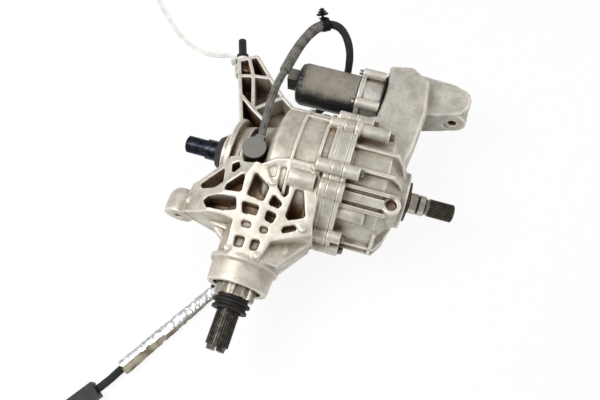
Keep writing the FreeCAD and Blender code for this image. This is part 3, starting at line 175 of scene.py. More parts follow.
def cast_aluminium(name, skin, patch, dirt_and_shade, reach=0.03):
    """skin and patch are the casting's two greys, dirt the share of soil and painted shade, reach how wide a
    pocket holds them.
    """
    material, tree, shader = new_material(name)
    place = add(tree, "TexCoord").outputs["Object"]
    # Stains are 30 mm across, soil specks 7 mm, the cast mottle 4 mm, and the grain, really 0.3 mm, is
    # drawn at 1 mm.
    stain = add(tree, "TexNoise", {}, {"Vector": place, "Scale": 33, "Detail": 6, "Roughness": 0.6})
    speck = add(tree, "TexNoise", {}, {"Vector": place, "Scale": 150, "Detail": 5, "Roughness": 0.7})
    mottle = add(tree, "TexNoise", {}, {"Vector": place, "Scale": 250, "Detail": 3})
    grain = add(tree, "TexNoise", {}, {"Vector": place, "Scale": 1000, "Detail": 2})
    spread = add(tree, "ValToRGB", {}, {"Fac": stain.outputs["Fac"]}, [(0.38, patch), (0.6, skin)])
    clouds = add(tree, "ValToRGB", {}, {"Fac": mottle.outputs["Fac"]},
                 [(0.3, tone("#d9d6d0")), (0.6, tone("#ffffff"))])
    metal = add(tree, "MixRGB", {"blend_type": "MULTIPLY"},
                {"Fac": 0.45, "Color1": spread.outputs["Color"], "Color2": clouds.outputs["Color"]})
    relief = add(tree, "Attribute", {"attribute_name": "relief"}).outputs["Fac"]
    # Soil and painted shade: thin tan haze in a wide pocket, brown on its floor, and painted shade nearly
    # black where it is deepest.
    pocket = add(tree, "AmbientOcclusion", {"samples": 12}, {"Distance": reach})
    uneven = add(tree, "Math", {"operation": "MULTIPLY_ADD"}, {0: speck.outputs["Fac"], 1: 0.55, 2: -0.275})
    depth = add(tree, "Math", {"operation": "ADD"}, {0: pocket.outputs["AO"], 1: uneven.outputs[0]})
    lift = add(tree, "Math", {"operation": "MULTIPLY_ADD"}, {0: relief, 1: 3.0, 2: depth.outputs[0]})
    soil_and_shade = add(tree, "ValToRGB", {}, {"Fac": lift.outputs[0]},
               [(0.1, tone("#3a2e23")), (0.34, tone("#6c5b47")), (0.62, tone("#9a8b75"))])
    grime_and_shade_share = add(tree, "ValToRGB", {}, {"Fac": lift.outputs[0]}, [(0.28, grey(dirt_and_shade)), (0.88, grey(0))])
    soiled_and_shaded = add(tree, "MixRGB", {}, {"Fac": grime_and_shade_share.outputs["Color"], "Color1": metal.outputs["Color"],
                                     "Color2": soil_and_shade.outputs["Color"]})
    dust = add(tree, "Math", {"operation": "MULTIPLY_ADD"}, {0: pocket.outputs["AO"], 1: -0.5,
                                                             2: speck.outputs["Fac"]})
    orange = add(tree, "ValToRGB", {}, {"Fac": dust.outputs[0]}, [(0.3, grey(0)), (0.42, grey(0.6 * dirt_and_shade))])
    rusty = add(tree, "MixRGB", {}, {"Fac": orange.outputs["Color"], "Color1": soiled_and_shaded.outputs["Color"],
                                     "Color2": tone("#93683f")})
    # Joint lines hold black oily dirt and narrow gaps get painted shade, so an edge in one of them is neither
    # rubbed pale nor given a painted highlight.
    crevice = add(tree, "AmbientOcclusion", {"samples": 8}, {"Distance": 0.005})
    edge = add(tree, "Math", {"operation": "MULTIPLY_ADD"}, {0: crevice.outputs["AO"], 1: 0.12, 2: relief})
    # Convex edges turn pale: partly rubbed wear, partly a painted highlight.
    wear_and_highlight = add(tree, "ValToRGB", {}, {"Fac": edge.outputs[0]}, [(0.13, grey(0)), (0.21, grey(0.85))])
    pale = add(tree, "MixRGB", {}, {"Fac": wear_and_highlight.outputs["Color"], "Color1": rusty.outputs["Color"],
                                    "Color2": tone("#f0ece3")})
    # Dark brown in joint lines and narrow gaps: oily dirt in the joints, painted shade in the other gaps.
    line = add(tree, "ValToRGB", {}, {"Fac": crevice.outputs["AO"]}, [(0.22, grey(0.92)), (0.58, grey(0))])
    bare = add(tree, "MixRGB", {}, {"Fac": line.outputs["Color"], "Color1": pale.outputs["Color"],
                                    "Color2": tone("#2c241b")})
    rough = add(tree, "MapRange", {}, {"Value": mottle.outputs["Fac"], "To Min": 0.4, "To Max": 0.6})
    ripple = add(tree, "Bump", {}, {"Strength": 0.25, "Distance": 0.0006, "Height": mottle.outputs["Fac"]})
    bump = add(tree, "Bump", {}, {"Strength": 0.22, "Distance": 0.0003, "Height": grain.outputs["Fac"],
                                  "Normal": ripple.outputs[0]})
    wire(tree, shader, base_color=bare, roughness=rough, normal=bump)
    shader.inputs["Metallic"].default_value = 0.55
    return material


housing_metal = cast_aluminium("die_cast_housing", tone("#d8d2c6"), tone("#b6afa2"), 0.95)
plate_metal = cast_aluminium("die_cast_plate", tone("#d0cbc0"), tone("#b3ada1"), 0.85)
cover_metal = cast_aluminium("die_cast_cover", tone("#d0cbc0"), tone("#b2ada1"), 0.85)
adapter_metal = cast_aluminium("die_cast_adapter", tone("#d6d2c8"), tone("#bfbab0"), 0.6, reach=0.012)
for node, grid, rounds, metal in (("main_housing", 0.0012, 7, housing_metal),
                                  ("intermediate_plate", 0.001, 4, plate_metal),
                                  ("right_cover", 0.0012, 7, cover_metal),
                                  ("motor_adapter", 0.0009, 5, adapter_metal)):
    rounded(node, grid, rounds, metal)

# Road mud has dried on the nose side of the gear-case neck, and its dark brown also paints the shade on
# the walls that face the nose. It starts 85 mm behind the axle and fades towards the tip of the right arm.
tree = cover_metal.node_tree
shader = tree.nodes["Principled BSDF"]
clean = shader.inputs["Base Color"].links[0].from_socket
facing = add(tree, "SeparateXYZ", {}, {0: add(tree, "NewGeometry").outputs["Normal"]})
place = add(tree, "TexCoord").outputs["Object"]
spot = add(tree, "SeparateXYZ", {}, {0: place})
ragged = add(tree, "TexNoise", {}, {"Vector": place, "Scale": 60, "Detail": 6, "Roughness": 0.65})
nose_side = add(tree, "MapRange", {}, {"Value": facing.outputs["Y"], "From Min": -0.25, "From Max": -0.75})
behind = add(tree, "MapRange", {}, {"Value": spot.outputs["Y"], "From Min": 0.085, "From Max": 0.125})
inward = add(tree, "MapRange", {}, {"Value": spot.outputs["X"], "From Min": 0.262, "From Max": 0.17})
share = add(tree, "Math", {"operation": "MULTIPLY"}, {0: nose_side.outputs[0], 1: behind.outputs[0]})
share = add(tree, "Math", {"operation": "MULTIPLY"}, {0: share.outputs[0], 1: inward.outputs[0]})
rough_edge = add(tree, "MapRange", {}, {"Value": ragged.outputs["Fac"], "From Min": 0.3, "From Max": 0.6,
                                        "To Min": 0.45, "To Max": 0.95})
share = add(tree, "Math", {"operation": "MULTIPLY"}, {0: share.outputs[0], 1: rough_edge.outputs[0]})
# Walls facing the nose turn dark brown: dried mud, and painted shade as well.
mud_and_shade = add(tree, "MixRGB", {}, {"Fac": share.outputs[0], "Color1": clean, "Color2": tone("#43352a")})
wire(tree, shader, base_color=mud_and_shade)


# The steel pieces: shafts, gears, bearings and clutch plates. Each is turned, ground, cut or cold formed
# and then left bare, plated or blackened, so only its colour, gloss and rust differ. Grooves hold black oil
# and rust, and carry painted shade as well.
def steel(name, bright, dark, rough, rust=0.0, rust_tone="#5e3b22", groove="#14110e", grime_and_shade_share=0.7, metallic=0.9,
          mottle=0.008):
    """bright and dark are the two tones, rust the share of rusty spots, held how much dark oil and painted
    shade the grooves hold.
    """
    material, tree, shader = new_material(name)
    place = add(tree, "TexCoord").outputs["Object"]
    cloud = add(tree, "TexNoise", {}, {"Vector": place, "Scale": 1 / mottle, "Detail": 5, "Roughness": 0.6})
    fine = add(tree, "TexNoise", {}, {"Vector": place, "Scale": 1200, "Detail": 2})
    metal = add(tree, "ValToRGB", {}, {"Fac": cloud.outputs["Fac"]}, [(0.35, dark), (0.65, bright)])
    spots = add(tree, "ValToRGB", {}, {"Fac": cloud.outputs["Fac"]},
                [(0.42, grey(rust)), (0.58, grey(rust * 0.15))])
    body = add(tree, "MixRGB", {}, {"Fac": spots.outputs["Color"], "Color1": metal.outputs["Color"],
                                    "Color2": tone(rust_tone)})
    # Grooves turn dark: black oil in them, and painted shade as well.
    pocket = add(tree, "AmbientOcclusion", {"samples": 8}, {"Distance": 0.003})
    deep = add(tree, "ValToRGB", {}, {"Fac": pocket.outputs["AO"]}, [(0.45, grey(grime_and_shade_share)), (0.9, grey(0))])
    oil_and_shade = add(tree, "MixRGB", {}, {"Fac": deep.outputs["Color"], "Color1": body.outputs["Color"],
                                    "Color2": tone(groove)})
    gloss = add(tree, "MapRange", {}, {"Value": cloud.outputs["Fac"], "To Min": rough - 0.06,
                                       "To Max": rough + 0.12})
    soft = add(tree, "Bevel", {"samples": 6}, {"Radius": 0.0006})
    bump = add(tree, "Bump", {}, {"Strength": 0.15, "Distance": 0.0002, "Height": fine.outputs["Fac"],
                                  "Normal": soft.outputs[0]})
    wire(tree, shader, base_color=oil_and_shade, roughness=gloss, normal=bump)
    shader.inputs["Metallic"].default_value = metallic
    return material


# Races and pins are mirror bright, gears grey with oil, the case dull, plates satin and linings brown and
# matt. Outside, the left stub is black with a blue sheen, the pinion dark and oily, its nut bright, the
# stud black, the seal's rim rusty.
dress(steel("ground_bearing_steel", tone("#c9cacc"), tone("#9fa0a3"), 0.16),
      "left_carrier_cup", "right_carrier_cup", "pinion_head_cup", "pinion_tail_cup", "pinion_head_cone",
      "pinion_tail_cone", "left_carrier_cone", "right_carrier_cone", "idler_pin", "cross_pin", "ramp_balls")
dress(steel("case_hardened_gear_steel", tone("#8d8e90"), tone("#5f6062"), 0.3),
      "ring_gear", "spider_gear_top", "spider_gear_bottom", "side_gear_left", "side_gear_right", "ramp_gear",
      "idler_gear", "motor_shaft", "clutch_hub", "clutch_drum", "pressure_plate", "pinion_spacer",
      "ring_gear_bolts")
dress(steel("nodular_cast_iron", tone("#6c6b6a"), tone("#4a4948"), 0.55), "differential_case")
dress(steel("stamped_plate_steel", tone("#a8a9aa"), tone("#85868a"), 0.3), "outer_plate_1", "outer_plate_2",
      "outer_plate_3")
dress(steel("paper_friction_lining", tone("#7a5a3c"), tone("#5d432c"), 0.8, metallic=0.0),
      "inner_plate_1", "inner_plate_2", "inner_plate_3")
dress(steel("blackened_stub", tone("#3a404c"), tone("#14161b"), 0.26, 0.15, "#231a16", "#050608", 0.9),
      "left_output_shaft")
dress(steel("oiled_pinion", tone("#6e6a62"), tone("#3a3733"), 0.34, 0.25, "#3f3226", "#14120f", 0.9),
      "drive_pinion")
dress(steel("plated_nut", tone("#d2cdc2"), tone("#a39c90"), 0.32, 0.2, "#7d6a52", "#2a241d", 0.8),
      "pinion_nut")
dress(steel("dark_arm_stud", tone("#2c2c2e"), tone("#18181a"), 0.55, 0.2, "#2a221b", metallic=0.5),
      "arm_stud")
dress(steel("dull_seal_case", tone("#6f6152"), tone("#453a30"), 0.5, 0.5, "#4d3524", metallic=0.6),
      "right_seal")


# The right stub is case-hardened and ground bright where its joint's sleeve and its seal sit, with grooves
# between that are dark with oil and painted shade. Its spline has a brown film of old grease.
stub = steel("worn_bright_stub", tone("#dcd8d0"), tone("#b3ada2"), 0.2, 0.12, "#6d4a30", "#120e0b", 0.95)
tree = stub.node_tree
shader = tree.nodes["Principled BSDF"]
place = add(tree, "SeparateXYZ", {}, {0: add(tree, "TexCoord").outputs["Object"]})
along = add(tree, "MapRange", {}, {"Value": place.outputs["X"], "From Min": 0.205, "From Max": 0.281})
# Stations along the stub, as shares of its 76 mm: seal land, ground journals, grooves dark with oil and
# painted shade, then the spline.
stations_and_groove_shade = add(tree, "ValToRGB", {}, {"Fac": along.outputs[0]},
            [(0.0, tone("#4c3a2c")), (0.1, tone("#e8e6e0")), (0.24, tone("#2c2420")), (0.29, tone("#f2f0ea")),
             (0.4, tone("#3c322a")), (0.44, tone("#c9c3b8")), (0.5, tone("#6a6056"))])
stations_and_groove_shade.color_ramp.interpolation = "CONSTANT"
steel_tone = shader.inputs["Base Color"].links[0].from_socket
film = add(tree, "MixRGB", {"blend_type": "MULTIPLY"}, {"Fac": 0.9, "Color1": steel_tone,
                                                        "Color2": stations_and_groove_shade.outputs["Color"]})
wire(tree, shader, base_color=film)
dress(stub, "right_output_shaft")


# The bolts: nine long flange bolts through cover and plate into the housing, and four short ones that hold
# the motor. Each is cold headed with a hexagon on a flange and zinc plated, now dull and brown at its root,
# where it also carries painted shade.
def turned(shape, outline, sides, where):
    """A closed turned body in a bmesh, from radius and height pairs that start and end on its axis."""
    last = None
    made = []
    for radius, height in outline:
        vertex = shape.verts.new((radius, 0, height))
        if last:
            made.append(shape.edges.new((last, vertex)))
        made.append(vertex)
        last = vertex
    bmesh.ops.spin(shape, geom=made, axis=(0, 0, 1), cent=(0, 0, 0), angle=math.tau, steps=sides,
                   use_merge=True)
    whole = [vertex for vertex in shape.verts if not vertex.tag]
    bmesh.ops.transform(shape, matrix=where, verts=whole)
    for vertex in whole:
        vertex.tag = True


def finished(shape, name, material, body, smooth=0.6):
    """The bmesh as a piece that rides on a body, smooth where its faces meet at less than the given angle."""
    bmesh.ops.remove_doubles(shape, verts=shape.verts, dist=1e-6)
    bmesh.ops.recalc_face_normals(shape, faces=shape.faces)
    for edge in shape.edges:
        edge.smooth = len(edge.link_faces) == 2 and edge.calc_face_angle(0) < smooth
    for face in shape.faces:
        face.smooth = True
    mesh = bpy.data.meshes.new(name)
    shape.to_mesh(mesh)
    shape.free()
    mesh.materials.append(material)
    piece = bpy.data.objects.new(name, mesh)
    bpy.context.scene.collection.objects.link(piece)
    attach(piece, body)
    return piece


def bolt(shape, place, turn, flange, head, height, shank, length):
    """One bolt that points along turn's Z, its flange standing on place and its shank going the other way."""
    where = Matrix.Translation(place) @ turn
    turned(shape, [(0, -length), (shank, -length), (shank, 0), (flange, 0), (flange, height * 0.12),
                   (head, height * 0.3), (0, height * 0.3)], 24, where)
    turned(shape, [(0, 0), (head, 0), (head, height * 0.86), (head * 0.86, height), (head * 0.42, height),
                   (head * 0.36, height * 0.7), (0, height * 0.62)], 6, where)


bolt_circle = 0.103
thread_end = 0.077
bolt_ends = {-29: 0.156, 14: 0.129, 72: 0.126, 96: 0.126, 126: 0.126, 160: 0.126, 194: 0.126, 228: 0.126,
             312: 0.129}
plating = steel("zinc_plated_bolts", tone("#8d877c"), tone("#55504a"), 0.4, 0.45, "#4a3322", "#0f0d0b", 0.95)
to_right = Matrix.Rotation(math.radians(90), 4, "Y")
shape = bmesh.new()
for angle, end in bolt_ends.items():
    lean = math.radians(angle)
    spot = Vector((end, -bolt_circle * math.sin(lean), bolt_circle * math.cos(lean) + axle_height))
    bolt(shape, spot, to_right, flange=0.0065, head=0.0055, height=0.0068, shank=0.0039,
         length=end - thread_end)
seam_bolts = finished(shape, "seam_flange_bolts", plating, "housing")
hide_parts("seam_bolts")

motor_circle = 0.041
motor_axis = Vector((0.090, 0.152, 0.020 + axle_height))
to_left = Matrix.Rotation(math.radians(-90), 4, "Y")
shape = bmesh.new()
for angle in (45, 135, 225, 315):
    lean = math.radians(angle)
    spot = motor_axis + Vector((0, -motor_circle * math.sin(lean), motor_circle * math.cos(lean)))
    bolt(shape, spot, to_left, flange=0.0049, head=0.0042, height=0.0059, shank=0.0029, length=0.037)
motor_bolts = finished(shape, "motor_flange_bolts", plating, "housing")
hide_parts("motor_bolts")
dress(plating, "service_plugs")


# The moulded pieces: seals, rubber rings, connector block, sensor cap and plugs. Nitrile rubber is dead
# matt with chalky dust on it, and glass-filled nylon is a little glossier with a fine spark-eroded grain.
def moulded(name, fresh, dusty, rough, dust=0.5, grain=0.0006, upward=0.0, shine=0.5):
    """fresh is the moulding's colour, dusty what lies on it, dust its share, upward how much paler the upward
    faces turn.
    """
    material, tree, shader = new_material(name)
    place = add(tree, "TexCoord").outputs["Object"]
    cloud = add(tree, "TexNoise", {}, {"Vector": place, "Scale": 110, "Detail": 7, "Roughness": 0.7})
    skin = add(tree, "TexNoise", {}, {"Vector": place, "Scale": 1 / grain, "Detail": 2})
    share = add(tree, "ValToRGB", {}, {"Fac": cloud.outputs["Fac"]}, [(0.42, grey(0)), (0.72, grey(dust))])
    facing = add(tree, "SeparateXYZ", {}, {0: add(tree, "NewGeometry").outputs["Normal"]})
    level = add(tree, "MapRange", {}, {"Value": facing.outputs["Z"], "From Min": 0.35, "From Max": 0.8,
                                       "To Max": upward})
    paler_share = add(tree, "Math", {"operation": "ADD", "use_clamp": True},
                {0: share.outputs["Color"], 1: level.outputs[0]})
    body = add(tree, "MixRGB", {}, {"Fac": paler_share.outputs[0], "Color1": fresh, "Color2": dusty})
    gloss = add(tree, "MapRange", {}, {"Value": cloud.outputs["Fac"], "To Min": rough - 0.08,
                                       "To Max": rough + 0.12})
    soft = add(tree, "Bevel", {"samples": 4}, {"Radius": 0.0006})
    bump = add(tree, "Bump", {}, {"Strength": 0.15, "Distance": 0.0002, "Height": skin.outputs["Fac"],
                                  "Normal": soft.outputs[0]})
    wire(tree, shader, base_color=body, roughness=gloss, normal=bump)
    shader.inputs["Specular IOR Level"].default_value = shine
    return material


dress(moulded("nitrile_seal", tone("#1b1b1d"), tone("#55504a"), 0.6), "left_seal", "pinion_seal",
      "motor_gasket")
dress(moulded("rubber_deflector", tone("#161514"), tone("#4a433b"), 0.6, 0.35, shine=0.35), "deflector_inner",
      "deflector_outer")

# The speed sensor's cap: glass-filled nylon, grey on its upward faces and black down its side, pressed into
# its seat.
cap_nylon = moulded("nylon_sensor_cap", tone("#161616"), tone("#7d7a74"), 0.5, 0.15, upward=0.85)
rounded("speed_sensor", 0.0006, 4, cap_nylon, most=40000)

# The motor's end block: black nylon over the brush gear, with the socket for the rear conduit's branch.
block_nylon = moulded("nylon_end_block", tone("#0f1012"), tone("#7d786f"), 0.45, 0.15, upward=0.55,
                      shine=0.35)
rounded("motor_end_block", 0.0006, 4, block_nylon, most=40000)


# The motor can: deep-drawn steel, sprayed black. A tan film of road dust lies on its upper side, which is
# also painted lighter as top light, and the paint is chipped blue-black round its rim, whose edge carries a
# painted highlight.
can_paint, tree, shader = new_material("sprayed_motor_can")
place = add(tree, "TexCoord").outputs["Object"]
cloud = add(tree, "TexNoise", {}, {"Vector": place, "Scale": 40, "Detail": 6, "Roughness": 0.65})
chip = add(tree, "TexNoise", {}, {"Vector": place, "Scale": 150, "Detail": 4, "Roughness": 0.6})
facing = add(tree, "SeparateXYZ", {}, {0: add(tree, "NewGeometry").outputs["Normal"]})
# Lighter on the upper side: a film of dust, and painted top light as well.
dust_and_top_light = add(tree, "Math", {"operation": "MULTIPLY_ADD"}, {0: cloud.outputs["Fac"], 1: 0.5,
                                                          2: facing.outputs["Z"]})
film = add(tree, "ValToRGB", {}, {"Fac": dust_and_top_light.outputs[0]}, [(0.72, grey(0.03)), (1.0, grey(0.92))])
dusty = add(tree, "ValToRGB", {}, {"Fac": cloud.outputs["Fac"]},
            [(0.35, tone("#7d766a")), (0.65, tone("#968f83"))])
body = add(tree, "MixRGB", {}, {"Fac": film.outputs["Color"], "Color1": tone("#101216"),
                                "Color2": dusty.outputs["Color"]})
relief = add(tree, "Attribute", {"attribute_name": "relief"}).outputs["Fac"]
end = add(tree, "SeparateXYZ", {}, {0: place})
near = add(tree, "MapRange", {}, {"Value": end.outputs["X"], "From Min": 0.004, "From Max": -0.008,
                                  "To Max": 0.32})
# Blue-black chips round the rim, with a painted highlight on its rounded edge.
rim = add(tree, "Math", {"operation": "MULTIPLY_ADD"}, {0: relief, 1: 4.0, 2: chip.outputs["Fac"]})
rim = add(tree, "Math", {"operation": "ADD"}, {0: rim.outputs[0], 1: near.outputs[0]})
chips_and_rim_highlight = add(tree, "ValToRGB", {}, {"Fac": rim.outputs[0]}, [(0.66, grey(0)), (0.74, grey(0.95))])
fresh = add(tree, "ValToRGB", {}, {"Fac": chip.outputs["Fac"]},
            [(0.5, tone("#15181d")), (0.68, tone("#3a5068"))])
bare = add(tree, "MixRGB", {}, {"Fac": chips_and_rim_highlight.outputs["Color"], "Color1": body.outputs["Color"],
                                "Color2": fresh.outputs["Color"]})
gloss = add(tree, "MapRange", {}, {"Value": film.outputs["Color"], "To Min": 0.32, "To Max": 0.62})
bump = add(tree, "Bump", {}, {"Strength": 0.15, "Distance": 0.0004, "Height": chip.outputs["Fac"]})
wire(tree, shader, base_color=bare, roughness=gloss, normal=bump)
rounded("motor_can", 0.0008, 5, can_paint, most=120000)


# The harness: a woven-taped lead out of the sensor, a thick cloth-sleeved conduit over the motor, and a
# slimmer one that goes down behind the unit, under it and out at the nose. Routes are the CAD's, in
# millimetres from the crossing of the two shafts.
def route_curve(name, route):
    """A smooth open line through a harness route, without a bevel."""
    curve = bpy.data.curves.new(name, "CURVE")
    curve.dimensions = "3D"
    spline = curve.splines.new("NURBS")
    spline.points.add(len(route) - 1)
    for point, (x, y, z) in zip(spline.points, route):
        point.co = (x / 1000, y / 1000, z / 1000 + axle_height, 1)
    spline.order_u = 3
    spline.use_endpoint_u = True
    spline.resolution_u = 16
    thing = bpy.data.objects.new(name, curve)
    bpy.context.scene.collection.objects.link(thing)
    return thing


def line_points(name, route, step):
    """Points an even step apart along a route's own line."""
    thing = route_curve(name, route)
    mesh = bpy.data.meshes.new_from_object(thing)
    raw = [vertex.co.copy() for vertex in mesh.vertices]
    bpy.data.meshes.remove(mesh)
    bpy.data.objects.remove(thing)
    points, left = [raw[0]], step
    for start, end in zip(raw, raw[1:]):
        run = (end - start).length
        while run >= left:
            start = start + (end - start) * (left / run)
            run -= left
            points.append(start.copy())
            left = step
        left -= run
    return points


def tube_along(name, points, radii, sides=20):
    """A tube with one ring of points at each place of a line, and its own round and lengthwise measure."""
    shape = bmesh.new()
    last = None
    for index, (point, radius) in enumerate(zip(points, radii)):
        ahead = points[min(index + 1, len(points) - 1)] - points[max(index - 1, 0)]
        spin = ahead.to_track_quat("Z", "Y").to_matrix().to_4x4()
        ring = bmesh.ops.create_circle(shape, cap_ends=False, segments=sides, radius=radius,
                                       matrix=Matrix.Translation(point) @ spin)
        edges = list({edge for vertex in ring["verts"] for edge in vertex.link_edges})
        if last:
            bmesh.ops.bridge_loops(shape, edges=last + edges)
        last = edges
    bmesh.ops.holes_fill(shape, edges=[e for e in shape.edges if e.is_boundary], sides=0)
    bmesh.ops.recalc_face_normals(shape, faces=shape.faces)
    mesh = bpy.data.meshes.new(name)
    shape.to_mesh(mesh)
    shape.free()
    run = mesh.attributes.new("run", "FLOAT_VECTOR", "POINT")
    step = (points[1] - points[0]).length
    for index in range(len(mesh.vertices)):
        turn = math.tau * (index % sides) / sides
        run.data[index].vector = (math.cos(turn), math.sin(turn), (index // sides) * step)
    for face in mesh.polygons:
        face.use_smooth = True
    thing = bpy.data.objects.new(name, mesh)
    bpy.context.scene.collection.objects.link(thing)
    return thing


def cloth_sleeve(name, light, dark, strands, pitch):
    """Woven polyester sleeve: strands is how many go round, pitch the length of one wave of each."""
    material, tree, shader = new_material(name)
    measure = add(tree, "Attribute", {"attribute_name": "run"})
    run = add(tree, "SeparateXYZ", {}, {0: measure.outputs["Vector"]})
    place = add(tree, "TexCoord").outputs["Object"]
    turn = add(tree, "Math", {"operation": "ARCTAN2"}, {0: run.outputs["Y"], 1: run.outputs["X"]})
    along = add(tree, "Math", {"operation": "MULTIPLY"}, {0: run.outputs["Z"], 1: math.tau / pitch})
    threads = []
    for way in (strands, -strands):
        slant = add(tree, "Math", {"operation": "MULTIPLY_ADD"},
                    {0: turn.outputs[0], 1: way, 2: along.outputs[0]})
        threads.append(add(tree, "Math", {"operation": "SINE"}, {0: slant.outputs[0]}).outputs[0])
    weave = add(tree, "Math", {"operation": "MAXIMUM"}, {0: threads[0], 1: threads[1]})
    streak = add(tree, "TexNoise", {}, {"Vector": place, "Scale": 90, "Detail": 5, "Roughness": 0.7})
    tint = add(tree, "Math", {"operation": "MULTIPLY_ADD"}, {0: weave.outputs[0], 1: 0.13,
                                                             2: streak.outputs["Fac"]})
    body = add(tree, "ValToRGB", {}, {"Fac": tint.outputs[0]}, [(0.32, dark), (0.66, light)])
    bump = add(tree, "Bump", {}, {"Strength": 0.5, "Distance": 0.0006, "Height": weave.outputs[0]})
    wire(tree, shader, base_color=body, normal=bump)
    shader.inputs["Roughness"].default_value = 0.85
    return material


def harness_run(name, route, radius, material, nodes, hidden=(1, 1)):
    """A sleeve on one harness route, a little uneven, and slimmer between the two hidden stations along Y."""
    points = line_points(name + "_line", route, 0.002)
    radii = [radius * (0.965 + 0.035 * noise.noise(point * 90)) for point in points]
    radii = [0.66 * r if hidden[0] < point.y < hidden[1] else r for r, point in zip(radii, points)]
    tube = tube_along(name, points, radii)
    tube.data.materials.append(material)
    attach(tube, "housing")
    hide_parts(*nodes)


lead_route = [(-27, 12, 71), (-27, 38, 84), (-28, 68, 92), (-27, 96, 91), (-25, 121.5, 85)]
conduit_route = [(-25, 122.6, 85), (-22, 153, 82), (-16.5, 184, 81), (-7, 212, 80.5), (3, 226.6, 80),
                 (13, 233.4, 79.5)]
rear_route = [(14.9, 234.2, 79.38), (28, 238.5, 78.5), (46, 229.5, 71), (59, 213, 55), (62.5, 200, 30),
              (61, 197, -2), (57, 194, -30), (42, 183, -60), (14, 161, -84), (-23, 129, -101),
              (-48, 82, -105.1), (-54, 28, -105.2), (-50, -26, -105.2), (-44, -80, -105.2),
              (-42, -134, -105.2), (-47, -186, -105.2)]
tail_route = [(-151, -357, -104.7), (-160, -375, -104.7), (-172, -392, -104.7)]

black_nylon = moulded("black_nylon_fitting", tone("#0b0b0d"), tone("#242321"), 0.45, 0.3, shine=0.25)
dress(black_nylon, "tail_plug")

# The conduit's clip: a fir-tree foot on a band, moulded in one, that pressed into a hole of the body panel.
thick_end = Vector((0.013, 0.2334, 0.0795 + axle_height))
heading = (thick_end - Vector((0.003, 0.2266, 0.080 + axle_height))).normalized()
upright = Vector((0, 0, 4)).cross(heading) * 0.15 + Vector((0, 0, 0.8))
upright = (upright - heading * upright.dot(heading)).normalized()
seat = Matrix((heading, upright, heading.cross(upright))).transposed().to_4x4()
seat.translation = thick_end - heading * 0.006
shape = bmesh.new()
around = seat @ Matrix.Rotation(math.radians(90), 4, "Y")
band_inner, band_outer, band_start, band_width = 0.0088, 0.0106, -0.003, 0.012
ring = bmesh.ops.create_circle(shape, cap_ends=False, segments=40, radius=band_inner)
edges = list({edge for vertex in ring["verts"] for edge in vertex.link_edges})
wall = bmesh.ops.extrude_edge_only(shape, edges=edges)
raised = [part for part in wall["geom"] if isinstance(part, bmesh.types.BMVert)]
bmesh.ops.translate(shape, vec=(0, 0, band_width), verts=raised)
bmesh.ops.translate(shape, vec=(0, 0, band_start), verts=shape.verts)
bmesh.ops.recalc_face_normals(shape, faces=shape.faces)
bmesh.ops.solidify(shape, geom=shape.faces[:], thickness=band_inner - band_outer)
bmesh.ops.transform(shape, matrix=around, verts=shape.verts)
for vertex in shape.verts:
    vertex.tag = True
up = seat @ Matrix.Rotation(math.radians(-90), 4, "X")
# Foot, big star, then two smaller ones on a thin stem that ends in a blunt tip.
turned(shape, [(0, 0.0104), (0.0045, 0.0104), (0.007, 0.0118), (0.0045, 0.0122), (0.0022, 0.0128),
               (0.0022, 0.016), (0.0094, 0.0166), (0.0098, 0.0184), (0.0026, 0.019), (0.0024, 0.0202),
               (0.0066, 0.0208), (0.0068, 0.0222), (0.0024, 0.0228), (0.0024, 0.0238), (0.0046, 0.0244),
               (0.0044, 0.0256), (0.002, 0.0264), (0, 0.0278)], 28, up)
clip = finished(shape, "fir_tree_clip", black_nylon, "housing")
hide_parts("conduit_clip")

# The lead's tape is a lighter grey than the conduit's sleeve, whose dark strands show as streaks.
lead_tape = cloth_sleeve("taped_grey_lead", tone("#76736d"), tone("#3c3a37"), strands=8, pitch=0.05)
harness_run("sensor_lead_tube", lead_route, 0.006, lead_tape, ["sensor_lead"])
conduit_weave = cloth_sleeve("woven_conduit_sleeve", tone("#7a766e"), tone("#26242a"), strands=12, pitch=0.04)
harness_run("conduit_tube", conduit_route, 0.0085, conduit_weave, ["corrugated_conduit"])


# The foil sleeve is a heat shield, thin aluminium foil on glass cloth, slit and wrapped round the harness
# by hand. It is creased all over, and its uncoated edge stands out as a tan flap.
def in_sleeve(along, across, up):
    """A place in the sleeve's own directions: along it, across it and up, in metres."""
    return sleeve_start + sleeve_way * along + sleeve_side * across + Vector((0, 0, up))


sleeve_start = Vector((-0.049, -0.1892, 0.0003))
sleeve_way = (Vector((-0.151, -0.357, 0)) - Vector((-0.047, -0.186, 0))).normalized()
sleeve_side = Vector((-sleeve_way.y, sleeve_way.x, 0))
sleeve_long = 0.195
opened_at = 0.1
wrap_shift, wrap_height, wrap_lift = 0.0005, 0.0066, 0.0062
hem_width = 0.0068
points = [in_sleeve(0.0031 * index, wrap_shift, wrap_height) for index in range(63)]
foil_tube = tube_along("foil_wrap", points, [wrap_lift] * len(points), 26)
shape = bmesh.new()
shape.from_mesh(foil_tube.data)
for vertex in shape.verts:
    along = (vertex.co - sleeve_start).dot(sleeve_way)
    centre = in_sleeve(along, wrap_shift, wrap_height)
    out = vertex.co - centre
    wide = 1.5 + 0.55 * along / sleeve_long
    calm = 0.4 if along > 0.125 else 1.0
    crease = calm * (noise.noise(vertex.co * 130) * 1.1 + noise.noise(vertex.co * 330) * 0.9)
    side = out.dot(sleeve_side) * wide * (1 + 0.12 * crease)
    lift = min(wrap_lift, max(-wrap_lift, out.z * 1.05 * (1 + 0.2 * crease)))
    shift = sleeve_way * (0.0011 * noise.noise(vertex.co * 210))
    vertex.co = centre + sleeve_side * side + Vector((0, 0, lift)) + shift
bmesh.ops.triangulate(shape, faces=shape.faces)
